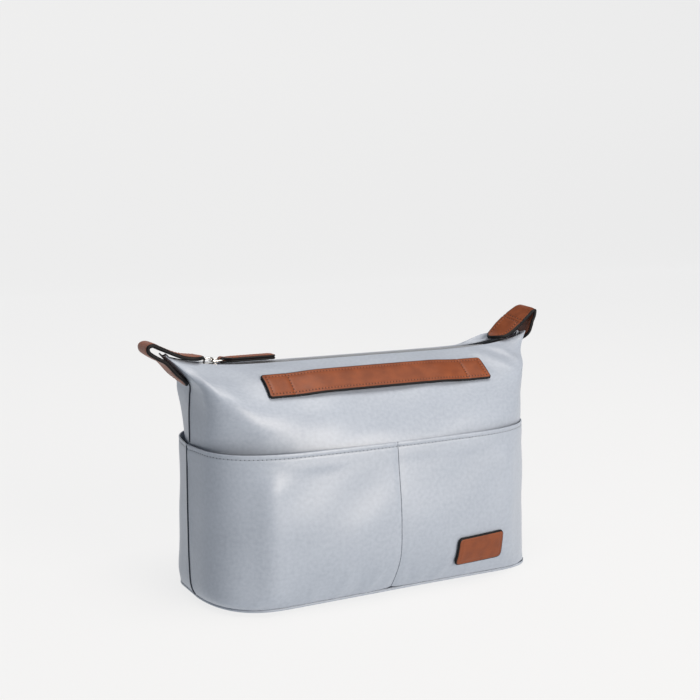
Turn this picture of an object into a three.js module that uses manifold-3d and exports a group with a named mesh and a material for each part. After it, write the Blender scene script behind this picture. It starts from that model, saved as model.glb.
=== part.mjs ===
// Purse organizer insert: a soft zipped pouch with slip pockets, a leather grab strap and leather end tabs.
// Millimetres, +Z up, front toward -Y, length along X, origin at the middle of the flat base.
import * as THREE from 'three';
import Module from 'manifold-3d';
import { mergeVertices } from 'three/addons/utils/BufferGeometryUtils.js';

// Gap kept between pieces that touch, and how far a cutting block runs past what it cuts
const clearance = 0.3;
const overrun = 20;

// Cloth and leather thicknesses
const fabricThickness = 1.2;
const liningThickness = 0.8;
const boardThickness = 2.4;
const tapeThickness = 0.8;
const leatherThickness = 2.2;

// Outside sizes of the pouch body
const bodyHalfLength = 121;
const bodyHalfDepth = 63;
const beltHeight = 104;
const zipHeight = 152.5;
const zipOpeningHalfWidth = 6;
const tipHalfSpan = 137.5;
const tipHalfWidth = 8;
const tipHeight = 161.5;
const tipThickness = 1.5;

// Guide lines up the body, one row of shares a level: of half length, half depth, and belt height or zip rise
const lowerSeamShares = [[0.949, 0], [0.99, 0.067], [1, 0.24], [1, 0.48], [0.999, 0.77], [0.997, 1]];
const lowerFoldShares = [[0.935, 0.49], [0.969, 0.53], [0.96, 0.571], [0.951, 0.571], [0.936, 0.58], [0.938, 0.62]];
const lowerMiddleShares = [0.743, 0.825, 0.965, 1, 0.94, 0.892];
const upperSeamShares = [[0.9965, 0.41], [0.992, 0.62], [0.992, 0.78], [1.07, 0.97]];
const upperFoldShares = [[0.952, 0.68, 0.39], [0.982, 0.62, 0.66], [0.995, 0.48, 0.804], [1.045, 0.28, 0.959]];
const upperMiddleShares = [[0.746, 0.35], [0.571, 0.6], [0.389, 0.79], [0.222, 0.924]];
const zipRisePower = 6;

// How far each corner is rounded at each level, toward the end seam and toward the front, in shares of half depth
const bodyRoundShares = [
  [0.35, 0.54], [0.36, 0.7], [0.36, 0.7], [0.36, 0.7], [0.36, 0.68], [0.36, 0.7],
  [0.32, 0.64], [0.26, 0.48], [0.14, 0.34], [0.06, 0.22], [0.016, 0.08],
];

// Slip pockets: their outer skin stands off the body except at the middle seam and the end seams
const pocketHalfLength = 122.8;
const pocketHalfDepth = 56.5;
const pocketHeight = 102.6;
const pocketSeamShares = [0.949, 0.988, 0.998, 1, 1, 0.998];
const pocketFoldShares = [
  [0.97, 0.87], [0.978, 0.933], [0.966, 0.942], [0.956, 0.95], [0.943, 0.963], [0.937, 0.952],
];
const pocketRoundShares = [[0.42, 0.9], [0.62, 0.77], [0.64, 0.79], [0.655, 0.8], [0.66, 0.79], [0.61, 0.88]];

// Base
const basePanelThickness = 1.2;
const boardInset = 3.6;

// Mouth: the part of each side's top that folds outward once the zip is open
const mouthHalfSpan = 92;

// Zip: two tapes, two rows of teeth, end stops
const tapeTopHeight = 151;
const tapeInnerEdge = 2.2;
const tapeFlatEdge = 5.4;
const tapeHalfSpan = 116;
const openTapeStart = -58;
const openTapeEnd = 50;
const tapeLowLevel = 9.1;
const toothPitch = 2.4;
const toothHeight = 1.6;
const toothTip = 0.6;
const toothRoot = 2;
const railEdge = 3.4;
const toothRootShare = 0.6;
const toothTipShare = 0.4;
const chainStart = -113;
const chainEnd = 105;
const stopLength = 2.4;

// Zip slider, ring and leather pull
const sliderX = -107;
const sliderHalfLength = 5.6;
const sliderHalfWidth = 4.4;
const sliderPlate = 1.2;
const flangeThickness = 0.6;
const flangeDrop = 1;
const webThickness = 0.6;
const webLength = 4.5;
const lugHalfWidth = 1.4;
const lugHalfLength = 3.6;
const lugOpening = 2.9;
const lugThickness = 1;
const ringWire = 1.2;
const ringHalfWidth = 3.7;
const ringLength = 7.4;
const pullLength = 36;
const pullHalfWidth = 4.2;
const pullNeckLength = 3.6;
const pullThickness = 3.2;
const pullEyeWall = 0.95;
const pullEndRadius = 1.6;

// Grab strap
const strapCentreX = 2.5;
const strapHalfLength = 82.5;
const strapWidth = 20;
const strapMidLevel = 7.75;
const strapLift = 2.5;
const strapSewnLength = 24;

// Label patch
const labelCentreX = 63;
const labelCentreZ = 24;
const labelHalfLength = 18.5;
const labelHalfHeight = 9;
const labelCornerRadius = 2.5;
const labelThickness = 1.8;

// End tabs: leather straps folded over the wing tips, with an eye beyond each tip
const tabHalfWidth = 9;
const tabTongueTaper = 8;
const tabTongueNarrowing = 0.55;
const tabUnderLevels = [9.9, 9, 8.5, 8];

// Each tab's line from its upper end round the fold: out from the wing tip, up from it, and turn in degrees
const tabs = {
  left: {
    side: -1,
    line: [
      [-26, -3.5, 0], [-12, -0.9, 0], [0, 2.3, 0], [4.4, 4.2, 0],
      [7.5, 6.5, 0], [13.2, 4.8, 0], [11.9, -1.1, 0], [8, -2.3, 0],
    ],
  },
  right: {
    side: 1,
    line: [
      [-26, -3.9, 0], [-19.5, -2, 4], [-12.5, 3.2, 13], [-6.5, 8, 15], [0.3, 13, 12],
      [6.8, 17.2, 5], [9.2, 14.7, 2], [6.9, 7.3, 0], [3.6, 1.1, 0],
    ],
  },
};

// How finely the sheets, straps and curves are divided, and how finely a place on the skin is searched for
const strapColumns = 20;
const strapRows = 2;
const labelRowShares = [-1, -0.9, -0.75, 0, 0.75, 0.9, 1];
const labelColumnShares = [-1, -0.5, 0, 0.5, 1];
const tapeEndSteps = 6;
const tapeOpenSteps = 4;
const tabSteps = 28;
const pullEndSegments = 4;
const searchSteps = 40;
const walkStep = 0.01;

// Colours and finishes seen on the object
const finishes = {
  fabric: new THREE.MeshStandardMaterial({ color: '#b9bec6', roughness: 0.6, metalness: 0 }),
  lining: new THREE.MeshStandardMaterial({ color: '#9da4ad', roughness: 0.75, metalness: 0 }),
  board: new THREE.MeshStandardMaterial({ color: '#d8d9da', roughness: 0.7, metalness: 0 }),
  leather: new THREE.MeshStandardMaterial({ color: '#a35f3d', roughness: 0.5, metalness: 0 }),
  tape: new THREE.MeshStandardMaterial({ color: '#a7acb3', roughness: 0.8, metalness: 0 }),
  teeth: new THREE.MeshStandardMaterial({ color: '#9da2a9', roughness: 0.45, metalness: 0 }),
  metal: new THREE.MeshStandardMaterial({ color: '#c9cbd0', roughness: 0.25, metalness: 1 }),
};

const wasm = await Module();
wasm.setup();

// Solids: closed meshes joined and cut
function toSolid(geometry) {
  const bare = geometry.clone();
  bare.deleteAttribute('normal');
  bare.deleteAttribute('uv');
  const merged = mergeVertices(bare);
  const vertProperties = new Float32Array(merged.attributes.position.array);
  const triVerts = new Uint32Array(merged.index.array);
  return new wasm.Manifold(new wasm.Mesh({ numProp: 3, vertProperties, triVerts }));
}

function toGeometry(solid) {
  const mesh = solid.getMesh();
  const geometry = new THREE.BufferGeometry();
  geometry.setAttribute('position', new THREE.BufferAttribute(new Float32Array(mesh.vertProperties), 3));
  geometry.setIndex(new THREE.BufferAttribute(new Uint32Array(mesh.triVerts), 1));
  return geometry;
}

function block(x0, x1, y0, y1, z0, z1) {
  const geometry = new THREE.BoxGeometry(x1 - x0, y1 - y0, z1 - z0);
  geometry.translate((x0 + x1) / 2, (y0 + y1) / 2, (z0 + z1) / 2);
  return geometry;
}

function joined(geometries) {
  return toGeometry(geometries.map(toSolid).reduce((whole, next) => whole.add(next)));
}

function cut(geometry, cutter) {
  return toGeometry(toSolid(geometry).subtract(toSolid(cutter)));
}

function common(geometry, other) {
  return toGeometry(toSolid(geometry).intersect(toSolid(other)));
}

// The back of the pouch is the front mirrored through the middle plane
function mirrored(geometry) {
  const copy = geometry.clone();
  const position = copy.attributes.position;
  for (let i = 0; i < position.count; i += 1) position.setY(i, -position.getY(i));
  const index = copy.index.array;
  for (let i = 0; i < index.length; i += 3) [index[i + 1], index[i + 2]] = [index[i + 2], index[i + 1]];
  return copy;
}

// Guide lines of the body and of the pocket
const bottomEdge = basePanelThickness + clearance;
const zipRise = zipHeight - beltHeight;
const lowerHeight = (share) => bottomEdge + (beltHeight - bottomEdge) * share;
const guide = (points) => new THREE.CatmullRomCurve3(points, false, 'centripetal');
const seamEdge = clearance / 2;
const pocketStandOff = 2 * clearance + fabricThickness;

const bodyGuides = {
  seam: guide([
    ...lowerSeamShares.map(([x, z]) => new THREE.Vector3(bodyHalfLength * x, -seamEdge, lowerHeight(z))),
    ...upperSeamShares.map(([x, z]) => new THREE.Vector3(bodyHalfLength * x, -seamEdge, beltHeight + zipRise * z)),
    new THREE.Vector3(tipHalfSpan, -seamEdge, tipHeight - tipThickness),
  ]),
  fold: guide([
    ...lowerFoldShares.map(([x, y], level) => new THREE.Vector3(
      bodyHalfLength * x, -bodyHalfDepth * y, lowerHeight(lowerSeamShares[level][1]))),
    ...upperFoldShares.map(([x, y, z]) => new THREE.Vector3(
      bodyHalfLength * x, -bodyHalfDepth * y, beltHeight + zipRise * z)),
    new THREE.Vector3(tipHalfSpan, -tipHalfWidth, tipHeight),
  ]),
  middle: guide([
    ...lowerMiddleShares.map((y, level) => new THREE.Vector3(
      0, -bodyHalfDepth * y, lowerHeight(lowerSeamShares[level][1]))),
    ...upperMiddleShares.map(([y, z]) => new THREE.Vector3(0, -bodyHalfDepth * y, beltHeight + zipRise * z)),
    new THREE.Vector3(0, -zipOpeningHalfWidth, zipHeight),
  ]),
  round: guide(bodyRoundShares.map(([end, front]) => new THREE.Vector3(
    bodyHalfDepth * end, bodyHalfDepth * front, 0))),
};

const topLevel = bodyRoundShares.length - 1;
const beltLevel = lowerSeamShares.length - 1;

const pocketLevelHeight = (level) => (
  bottomEdge + (pocketHeight - bottomEdge) * lowerSeamShares[level][1]);

// Where the pocket is sewn to the body it lies one cloth outside it, measured square to the sloping wall
function pocketMiddle(level) {
  const share = level / topLevel;
  const upright = bodyGuides.middle.getTangent(share).z;
  return bodyGuides.middle.getPoint(share).y - pocketStandOff / upright;
}
const pocketGuides = {
  seam: guide(pocketSeamShares.map((x, level) => new THREE.Vector3(
    pocketHalfLength * x, -seamEdge, pocketLevelHeight(level)))),
  fold: guide(pocketFoldShares.map(([x, y], level) => new THREE.Vector3(
    pocketHalfLength * x, -pocketHalfDepth * y, pocketLevelHeight(level)))),
  middle: guide(lowerMiddleShares.map((_, level) => new THREE.Vector3(
    0, pocketMiddle(level), pocketLevelHeight(level)))),
  round: guide(pocketRoundShares.map(([end, front]) => new THREE.Vector3(
    pocketHalfDepth * end, pocketHalfDepth * front, 0))),
};

// A point of the outer skin. Across runs 0 to 1 along the front, to 2 round the corner, to 3 along the end
function skinPoint(guides, levels, level, across) {
  const share = level / levels;
  const seam = guides.seam.getPoint(share);
  const fold = guides.fold.getPoint(share);
  const middle = guides.middle.getPoint(share);
  const round = guides.round.getPoint(share);
  const place = Math.abs(across);
  const frontEnd = fold.x - round.y;
  const along = (x) => new THREE.Vector3(
    x,
    middle.y + (fold.y - middle.y) * (x / fold.x) ** 2,
    middle.z + (fold.z - middle.z) * (x / fold.x) ** zipRisePower,
  );
  const toSeam = seam.clone().sub(fold);
  const cornerEnd = fold.clone().addScaledVector(toSeam, Math.min(1, round.x / toSeam.length()));
  let point;
  if (place <= 1) point = along(frontEnd * place);
  else if (place <= 2) point = new THREE.QuadraticBezierCurve3(along(frontEnd), fold, cornerEnd).getPoint(place - 1);
  else point = cornerEnd.lerp(seam, place - 2);
  if (across < 0) point.x = -point.x;
  return point;
}

const bodySkin = (level, across) => skinPoint(bodyGuides, topLevel, level, across);
const pocketSkin = (level, across) => skinPoint(pocketGuides, beltLevel, level, across);

// The place across a level where the skin passes a given x, and the level where it passes a given height
function acrossAtX(skin, level, x) {
  let low = 0;
  let high = 3;
  for (let step = 0; step < searchSteps; step += 1) {
    const half = (low + high) / 2;
    if (skin(level, half).x < Math.abs(x)) low = half;
    else high = half;
  }
  return x < 0 ? -low : low;
}

function levelAtHeight(skin, levels, x, height) {
  let low = 0;
  let high = levels;
  for (let step = 0; step < searchSteps; step += 1) {
    const half = (low + high) / 2;
    if (skin(half, acrossAtX(skin, half, x)).z < height) low = half;
    else high = half;
  }
  return low;
}

// The level that lies a given distance up (or, if negative, down) the skin from another
function levelAtDistance(skin, x, level, distance) {
  const stepLevel = walkStep * Math.sign(distance);
  let walked = 0;
  let here = level;
  let point = skin(here, acrossAtX(skin, here, x));
  while (walked < Math.abs(distance)) {
    here += stepLevel;
    const next = skin(here, acrossAtX(skin, here, x));
    walked += next.distanceTo(point);
    point = next;
  }
  return here;
}

// A grid of skin points with outward normals; a sheet's end columns on the middle plane stay square to it
function gridNormals(points, squareEnds) {
  const last = points.length - 1;
  const lastColumn = points[0].length - 1;
  return points.map((row, r) => row.map((point, c) => {
    const along = row[Math.min(c + 1, lastColumn)].clone().sub(row[Math.max(c - 1, 0)]);
    const up = points[Math.min(r + 1, last)][c].clone().sub(points[Math.max(r - 1, 0)][c]);
    const normal = along.cross(up);
    if (squareEnds && (c === 0 || c === lastColumn)) normal.y = 0;
    return normal.normalize();
  }));
}

// A closed sheet between two offsets of a grid of points; each offset is a length or a function of row and column
function closedSheet(points, outerOffset, innerOffset, squareEnds = false) {
  const normals = gridNormals(points, squareEnds);
  const rows = points.length;
  const columns = points[0].length;
  const offsetAt = (offset, r, c) => (typeof offset === 'function' ? offset(r, c) : offset);
  const positions = [];
  [outerOffset, innerOffset].forEach((offset) => points.forEach((row, r) => row.forEach((point, c) => {
    positions.push(...point.clone().addScaledVector(normals[r][c], offsetAt(offset, r, c)).toArray());
  })));
  const outer = (r, c) => r * columns + c;
  const inner = (r, c) => rows * columns + outer(r, c);
  const index = [];
  const quad = (a, b, c, d) => index.push(a, b, c, a, c, d);
  for (let r = 0; r < rows - 1; r += 1) {
    for (let c = 0; c < columns - 1; c += 1) {
      quad(outer(r, c), outer(r, c + 1), outer(r + 1, c + 1), outer(r + 1, c));
      quad(inner(r, c), inner(r + 1, c), inner(r + 1, c + 1), inner(r, c + 1));
    }
    quad(outer(r, 0), outer(r + 1, 0), inner(r + 1, 0), inner(r, 0));
    quad(inner(r, columns - 1), inner(r + 1, columns - 1), outer(r + 1, columns - 1), outer(r, columns - 1));
  }
  for (let c = 0; c < columns - 1; c += 1) {
    quad(inner(0, c), inner(0, c + 1), outer(0, c + 1), outer(0, c));
    quad(outer(rows - 1, c), outer(rows - 1, c + 1), inner(rows - 1, c + 1), inner(rows - 1, c));
  }
  const geometry = new THREE.BufferGeometry();
  geometry.setAttribute('position', new THREE.BufferAttribute(new Float32Array(positions), 3));
  geometry.setIndex(index);
  return geometry;
}

const halfColumns = [0, 0.12, 0.32, 0.55, 0.8, 1, 1.25, 1.5, 1.75, 2, 2.5, 3];
const columnPlaces = [...halfColumns.slice(1).reverse().map((place) => -place), ...halfColumns];
const skinGrid = (skin, levels) => levels.map((level) => columnPlaces.map((place) => skin(level, place)));

const lowerLevels = [0, 0.5, 1, 1.5, 2, 3, 4, 5];
const upperLevels = [5.5, 6, 6.5, 7, 7.5, 8, 8.5, 9];
const panelLevels = [...lowerLevels, ...upperLevels, 9.5, 10];
const liningOuter = -(fabricThickness + clearance);
const liningInner = liningOuter - liningThickness;

// Front panel and its lining, each cut where the mouth folds
const wholePanel = closedSheet(skinGrid(bodySkin, panelLevels), 0, -fabricThickness, true);
const liningLevels = [0.3, ...lowerLevels.slice(1), ...upperLevels];
const wholeLining = common(
  closedSheet(skinGrid(bodySkin, liningLevels), liningOuter, liningInner, true),
  block(-bodyHalfLength, bodyHalfLength, -bodyHalfDepth - overrun, 0, -overrun, tipHeight + overrun),
);

function mouthBlock(grow) {
  return block(
    -mouthHalfSpan - grow, mouthHalfSpan + grow,
    -bodyHalfDepth - overrun, 0,
    beltHeight - grow, tipHeight + overrun,
  );
}

const frontPanel = cut(wholePanel, mouthBlock(clearance));
const frontMouthPanel = common(wholePanel, mouthBlock(0));
const frontLining = cut(wholeLining, mouthBlock(clearance));
const frontMouthLining = common(wholeLining, mouthBlock(0));

// Slip pocket
const frontPocket = closedSheet(skinGrid(pocketSkin, lowerLevels), 0, -fabricThickness, true);

// Base: flat panel, stiffening board and lining, all with the outline of the bottom seam
function seamOutline(skin, inset) {
  const front = columnPlaces.map((place) => skin(0, place));
  front[0].y = 0;
  front[front.length - 1].y = 0;
  const back = front.slice(1, -1).reverse().map((point) => new THREE.Vector3(point.x, -point.y, point.z));
  const whole = [...front, ...back];
  const outline = whole.map((point, i) => {
    const before = whole[(i + whole.length - 1) % whole.length];
    const after = whole[(i + 1) % whole.length];
    const along = new THREE.Vector2(after.x - before.x, after.y - before.y).normalize();
    return new THREE.Vector2(point.x - along.y * inset, point.y + along.x * inset);
  });
  return new THREE.Shape(outline);
}

function plate(shape, thickness, bottom) {
  const geometry = new THREE.ExtrudeGeometry(shape, { depth: thickness, bevelEnabled: false });
  geometry.translate(0, 0, bottom);
  return geometry;
}

const basePanel = plate(seamOutline(pocketSkin, 0), basePanelThickness, 0);
const boardShape = seamOutline(bodySkin, boardInset);
const boardBottom = basePanelThickness + clearance;
const baseBoard = plate(boardShape, boardThickness, boardBottom);
const baseLining = plate(boardShape, liningThickness, boardBottom + boardThickness + clearance);

// Zip tape: sewn under the panel's top edge, then flat to its inner edge
function zipTape(fromX, toX, steps) {
  const columns = Array.from({ length: steps + 1 }, (_, i) => fromX + (toX - fromX) * (i / steps));
  const sewnLevels = [tapeLowLevel, (tapeLowLevel + topLevel) / 2];
  const skins = sewnLevels.map((level) => columns.map((x) => bodySkin(level, acrossAtX(bodySkin, level, x))));
  const normals = gridNormals([...skins, columns.map((x) => bodySkin(topLevel, acrossAtX(bodySkin, topLevel, x)))]);
  const sewn = skins.map((row, r) => row.map((point, c) => point.clone().addScaledVector(normals[r][c], liningOuter)));
  const flat = [tapeFlatEdge, tapeInnerEdge].map((y) => columns.map((x) => (
    new THREE.Vector3(x, -y, tapeTopHeight))));
  return closedSheet([...sewn, ...flat], 0, -tapeThickness);
}

const halfGap = clearance / 2;
const frontTapeLeft = zipTape(-tapeHalfSpan, openTapeStart - halfGap, tapeEndSteps);
const frontTape = zipTape(openTapeStart + halfGap, openTapeEnd - halfGap, tapeOpenSteps);
const frontTapeRight = zipTape(openTapeEnd + halfGap, tapeHalfSpan, tapeEndSteps);

// Zip teeth: a comb whose teeth point at the middle plane, those of the back row half a pitch along
const teethBottom = tapeTopHeight + clearance;

function zipTeeth(fromX, toX, staggerShare) {
  const shape = new THREE.Shape();
  shape.moveTo(fromX, -railEdge);
  shape.lineTo(toX, -railEdge);
  shape.lineTo(toX, -toothRoot);
  const rootHalf = (toothPitch * toothRootShare) / 2;
  const tipHalf = (toothPitch * toothTipShare) / 2;
  const first = Math.ceil((fromX + rootHalf) / toothPitch - staggerShare);
  const last = Math.floor((toX - rootHalf) / toothPitch - staggerShare);
  for (let tooth = last; tooth >= first; tooth -= 1) {
    const x = (tooth + staggerShare) * toothPitch;
    shape.lineTo(x + rootHalf, -toothRoot);
    shape.lineTo(x + tipHalf, -toothTip);
    shape.lineTo(x - tipHalf, -toothTip);
    shape.lineTo(x - rootHalf, -toothRoot);
  }
  shape.lineTo(fromX, -toothRoot);
  return plate(shape, toothHeight, teethBottom);
}

const teethSpans = {
  left: [chainStart, openTapeStart - halfGap],
  open: [openTapeStart + halfGap, openTapeEnd - halfGap],
  right: [openTapeEnd + halfGap, chainEnd],
};
const backStaggerShare = 0.5;

function endStop(fromX) {
  return block(fromX, fromX + stopLength, -railEdge, railEdge, teethBottom, teethBottom + toothHeight);
}

const topStop = endStop(chainStart - clearance - stopLength);
const bottomStop = endStop(chainEnd + clearance);

// Zip slider: two plates joined by a thin web that runs between the rows of teeth, with a lug on top
const sliderFloor = tapeTopHeight - tapeThickness - clearance;
const sliderCeiling = teethBottom + toothHeight + clearance;
const sliderTop = sliderCeiling + sliderPlate;
const ringAxisX = sliderX + lugHalfLength - lugThickness - ringWire;
const ringAxisZ = sliderTop + lugOpening / 2;

function sliderBody() {
  const left = sliderX - sliderHalfLength;
  const right = sliderX + sliderHalfLength;
  const wide = sliderHalfWidth;
  const flangeInner = wide - flangeThickness;
  const flangeBottom = sliderCeiling - flangeDrop;
  const lugLeft = sliderX - lugHalfLength;
  const lugRight = sliderX + lugHalfLength;
  const lugTop = sliderTop + lugOpening + lugThickness;
  const lug = cut(
    block(lugLeft, lugRight, -lugHalfWidth, lugHalfWidth, sliderTop - sliderPlate / 2, lugTop),
    block(lugLeft + lugThickness, lugRight - lugThickness, -overrun, overrun, sliderTop, sliderTop + lugOpening),
  );
  return joined([
    block(left, right, -wide, wide, sliderCeiling, sliderTop),
    block(left, right, -wide, wide, sliderFloor - sliderPlate, sliderFloor),
    block(left, left + webLength, -webThickness / 2, webThickness / 2, sliderFloor - sliderPlate, sliderTop),
    block(left, right, -wide, -flangeInner, flangeBottom, sliderTop),
    block(left, right, flangeInner, wide, flangeBottom, sliderTop),
    lug,
  ]);
}

// Pull ring: a flat wire rectangle through the lug
function pullRing() {
  const left = ringAxisX - ringWire / 2;
  const right = left + ringLength + ringWire;
  const bottom = ringAxisZ - ringWire / 2;
  const inside = ringHalfWidth - ringWire;
  return cut(
    block(left, right, -ringHalfWidth, ringHalfWidth, bottom, bottom + ringWire),
    block(left + ringWire, right - ringWire, -inside, inside, bottom - overrun, bottom + overrun),
  );
}

// Leather pull: a doubled strap, its narrow neck folded round the ring's far bar
const pullAxisX = ringAxisX + ringLength;

function leatherPull() {
  const eyeHalf = ringWire / 2 + clearance;
  const left = pullAxisX - eyeHalf - pullEyeWall;
  const neckRight = pullAxisX + pullNeckLength;
  const right = pullAxisX + pullLength;
  const neckHalf = ringHalfWidth - ringWire - clearance;
  const radius = pullEndRadius;
  const shape = new THREE.Shape();
  shape.moveTo(left, -neckHalf);
  shape.lineTo(neckRight, -neckHalf);
  shape.lineTo(neckRight, -pullHalfWidth);
  shape.lineTo(right - radius, -pullHalfWidth);
  shape.absarc(right - radius, radius - pullHalfWidth, radius, -Math.PI / 2, 0, false);
  shape.absarc(right - radius, pullHalfWidth - radius, radius, 0, Math.PI / 2, false);
  shape.lineTo(neckRight, pullHalfWidth);
  shape.lineTo(neckRight, neckHalf);
  shape.lineTo(left, neckHalf);
  const body = new THREE.ExtrudeGeometry(
    shape, { depth: pullThickness, bevelEnabled: false, curveSegments: pullEndSegments });
  body.translate(0, 0, ringAxisZ - pullThickness / 2);
  return cut(body, block(
    pullAxisX - eyeHalf, pullAxisX + eyeHalf, -overrun, overrun, ringAxisZ - eyeHalf, ringAxisZ + eyeHalf));
}

// Grab strap: sewn flat at both ends and standing off the panel between them
function grabStrap() {
  const columns = Array.from({ length: strapColumns + 1 }, (_, i) => (
    strapCentreX + strapHalfLength * ((2 * i) / strapColumns - 1)));
  const lowLevel = levelAtDistance(bodySkin, 0, strapMidLevel, -strapWidth / 2);
  const highLevel = levelAtDistance(bodySkin, 0, strapMidLevel, strapWidth / 2);
  const levels = Array.from({ length: strapRows + 1 }, (_, i) => (
    lowLevel + (highLevel - lowLevel) * (i / strapRows)));
  const points = levels.map((level) => columns.map((x) => bodySkin(level, acrossAtX(bodySkin, level, x))));
  const liftAt = (column) => {
    const fromEnd = strapHalfLength - Math.abs(columns[column] - strapCentreX) - strapSewnLength;
    const share = THREE.MathUtils.clamp(fromEnd / (strapHalfLength - strapSewnLength), 0, 1);
    return clearance * 2 + strapLift * Math.sin((share * Math.PI) / 2);
  };
  return closedSheet(points, (r, c) => liftAt(c) + leatherThickness, (r, c) => liftAt(c));
}

// Label patch: a small leather rectangle with round corners, sewn on the front pocket
function labelPatch() {
  const points = labelRowShares.map((rowShare) => {
    const past = Math.max(0, Math.abs(rowShare) * labelHalfHeight - (labelHalfHeight - labelCornerRadius));
    const trim = labelCornerRadius - Math.sqrt(labelCornerRadius ** 2 - past ** 2);
    return labelColumnShares.map((share) => {
      const x = labelCentreX + share * (labelHalfLength - trim);
      const height = labelCentreZ + rowShare * labelHalfHeight;
      const level = levelAtHeight(pocketSkin, beltLevel, x, height);
      return pocketSkin(level, acrossAtX(pocketSkin, level, x));
    });
  });
  return closedSheet(points, clearance + labelThickness, clearance);
}

// End tab: a leather strap swept along its line, over the wing tip, round the eye and back under the wing
function endTab({ side, line: rows }) {
  const seat = clearance + leatherThickness / 2;
  const underPoint = (level) => {
    const point = bodyGuides.seam.getPoint(level / topLevel);
    const tangent = bodyGuides.seam.getTangent(level / topLevel);
    const outward = new THREE.Vector3(tangent.z, 0, -tangent.x).normalize();
    return new THREE.Vector3(point.x, 0, point.z).addScaledVector(outward, seat + clearance);
  };
  const line = guide([
    ...rows.map(([out, up]) => new THREE.Vector3(tipHalfSpan + out, 0, tipHeight + up)),
    ...tabUnderLevels.map(underPoint),
  ]);
  const turns = guide([
    ...rows.map(([, , turn]) => new THREE.Vector3(THREE.MathUtils.degToRad(turn), 0, 0)),
    ...tabUnderLevels.map(() => new THREE.Vector3()),
  ]);
  const length = line.getLength();
  const positions = [];
  for (let i = 0; i <= tabSteps; i += 1) {
    const share = i / tabSteps;
    const place = line.getUtoTmapping(share);
    const centre = line.getPoint(place);
    const tangent = line.getTangent(place);
    const flat = new THREE.Vector3(-tangent.z, 0, tangent.x);
    const turn = turns.getPoint(place).x;
    const normal = flat.clone().applyAxisAngle(tangent, turn);
    const across = new THREE.Vector3(0, 1, 0).applyAxisAngle(tangent, turn);
    const fromEnd = Math.min(share, 1 - share) * length;
    const taper = Math.max(0, 1 - fromEnd / tabTongueTaper);
    const halfWidth = tabHalfWidth * (1 - taper ** 2 * tabTongueNarrowing);
    [[1, -1], [1, 1], [-1, 1], [-1, -1]].forEach(([out, sideways]) => {
      const corner = centre.clone()
        .addScaledVector(normal, (out * leatherThickness) / 2)
        .addScaledVector(across, sideways * halfWidth);
      positions.push(side * corner.x, corner.y, corner.z);
    });
  }
  const index = [];
  const quad = (a, b, c, d) => (side > 0 ? index.push(a, b, c, a, c, d) : index.push(a, c, b, a, d, c));
  for (let i = 0; i < tabSteps; i += 1) {
    for (let corner = 0; corner < 4; corner += 1) {
      const next = (corner + 1) % 4;
      quad(4 * i + corner, 4 * (i + 1) + corner, 4 * (i + 1) + next, 4 * i + next);
    }
  }
  quad(0, 1, 2, 3);
  quad(4 * tabSteps + 3, 4 * tabSteps + 2, 4 * tabSteps + 1, 4 * tabSteps);
  const geometry = new THREE.BufferGeometry();
  geometry.setAttribute('position', new THREE.BufferAttribute(new Float32Array(positions), 3));
  geometry.setIndex(index);
  return geometry;
}

// The pouch, piece by piece
const organizer = new THREE.Group();

function add(name, geometry, finish) {
  const mesh = new THREE.Mesh(geometry, finish.clone());
  mesh.name = name;
  organizer.add(mesh);
}

add('base_panel', basePanel, finishes.fabric);
add('base_board', baseBoard, finishes.board);
add('base_lining', baseLining, finishes.lining);
add('front_panel', frontPanel, finishes.fabric);
add('back_panel', mirrored(frontPanel), finishes.fabric);
add('front_lining', frontLining, finishes.lining);
add('back_lining', mirrored(frontLining), finishes.lining);
add('front_pocket', frontPocket, finishes.fabric);
add('back_pocket', mirrored(frontPocket), finishes.fabric);
add('label_patch', labelPatch(), finishes.leather);
add('left_end_tab', endTab(tabs.left), finishes.leather);
add('right_end_tab', endTab(tabs.right), finishes.leather);

add('front_mouth_panel', frontMouthPanel, finishes.fabric);
add('back_mouth_panel', mirrored(frontMouthPanel), finishes.fabric);
add('front_mouth_lining', frontMouthLining, finishes.lining);
add('back_mouth_lining', mirrored(frontMouthLining), finishes.lining);
add('grab_strap', grabStrap(), finishes.leather);

add('front_tape_left', frontTapeLeft, finishes.tape);
add('front_tape', frontTape, finishes.tape);
add('front_tape_right', frontTapeRight, finishes.tape);
add('back_tape_left', mirrored(frontTapeLeft), finishes.tape);
add('back_tape', mirrored(frontTape), finishes.tape);
add('back_tape_right', mirrored(frontTapeRight), finishes.tape);

add('front_teeth_left', zipTeeth(...teethSpans.left, 0), finishes.teeth);
add('front_teeth', zipTeeth(...teethSpans.open, 0), finishes.teeth);
add('front_teeth_right', zipTeeth(...teethSpans.right, 0), finishes.teeth);
add('back_teeth_left', mirrored(mergeVertices(zipTeeth(...teethSpans.left, backStaggerShare))), finishes.teeth);
add('back_teeth', mirrored(mergeVertices(zipTeeth(...teethSpans.open, backStaggerShare))), finishes.teeth);
add('back_teeth_right', mirrored(mergeVertices(zipTeeth(...teethSpans.right, backStaggerShare))), finishes.teeth);
add('top_stop', topStop, finishes.metal);
add('bottom_stop', bottomStop, finishes.metal);

add('slider_body', sliderBody(), finishes.metal);
add('pull_ring', pullRing(), finishes.metal);
add('leather_pull', leatherPull(), finishes.leather);

export default organizer;
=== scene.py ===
import math

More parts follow.
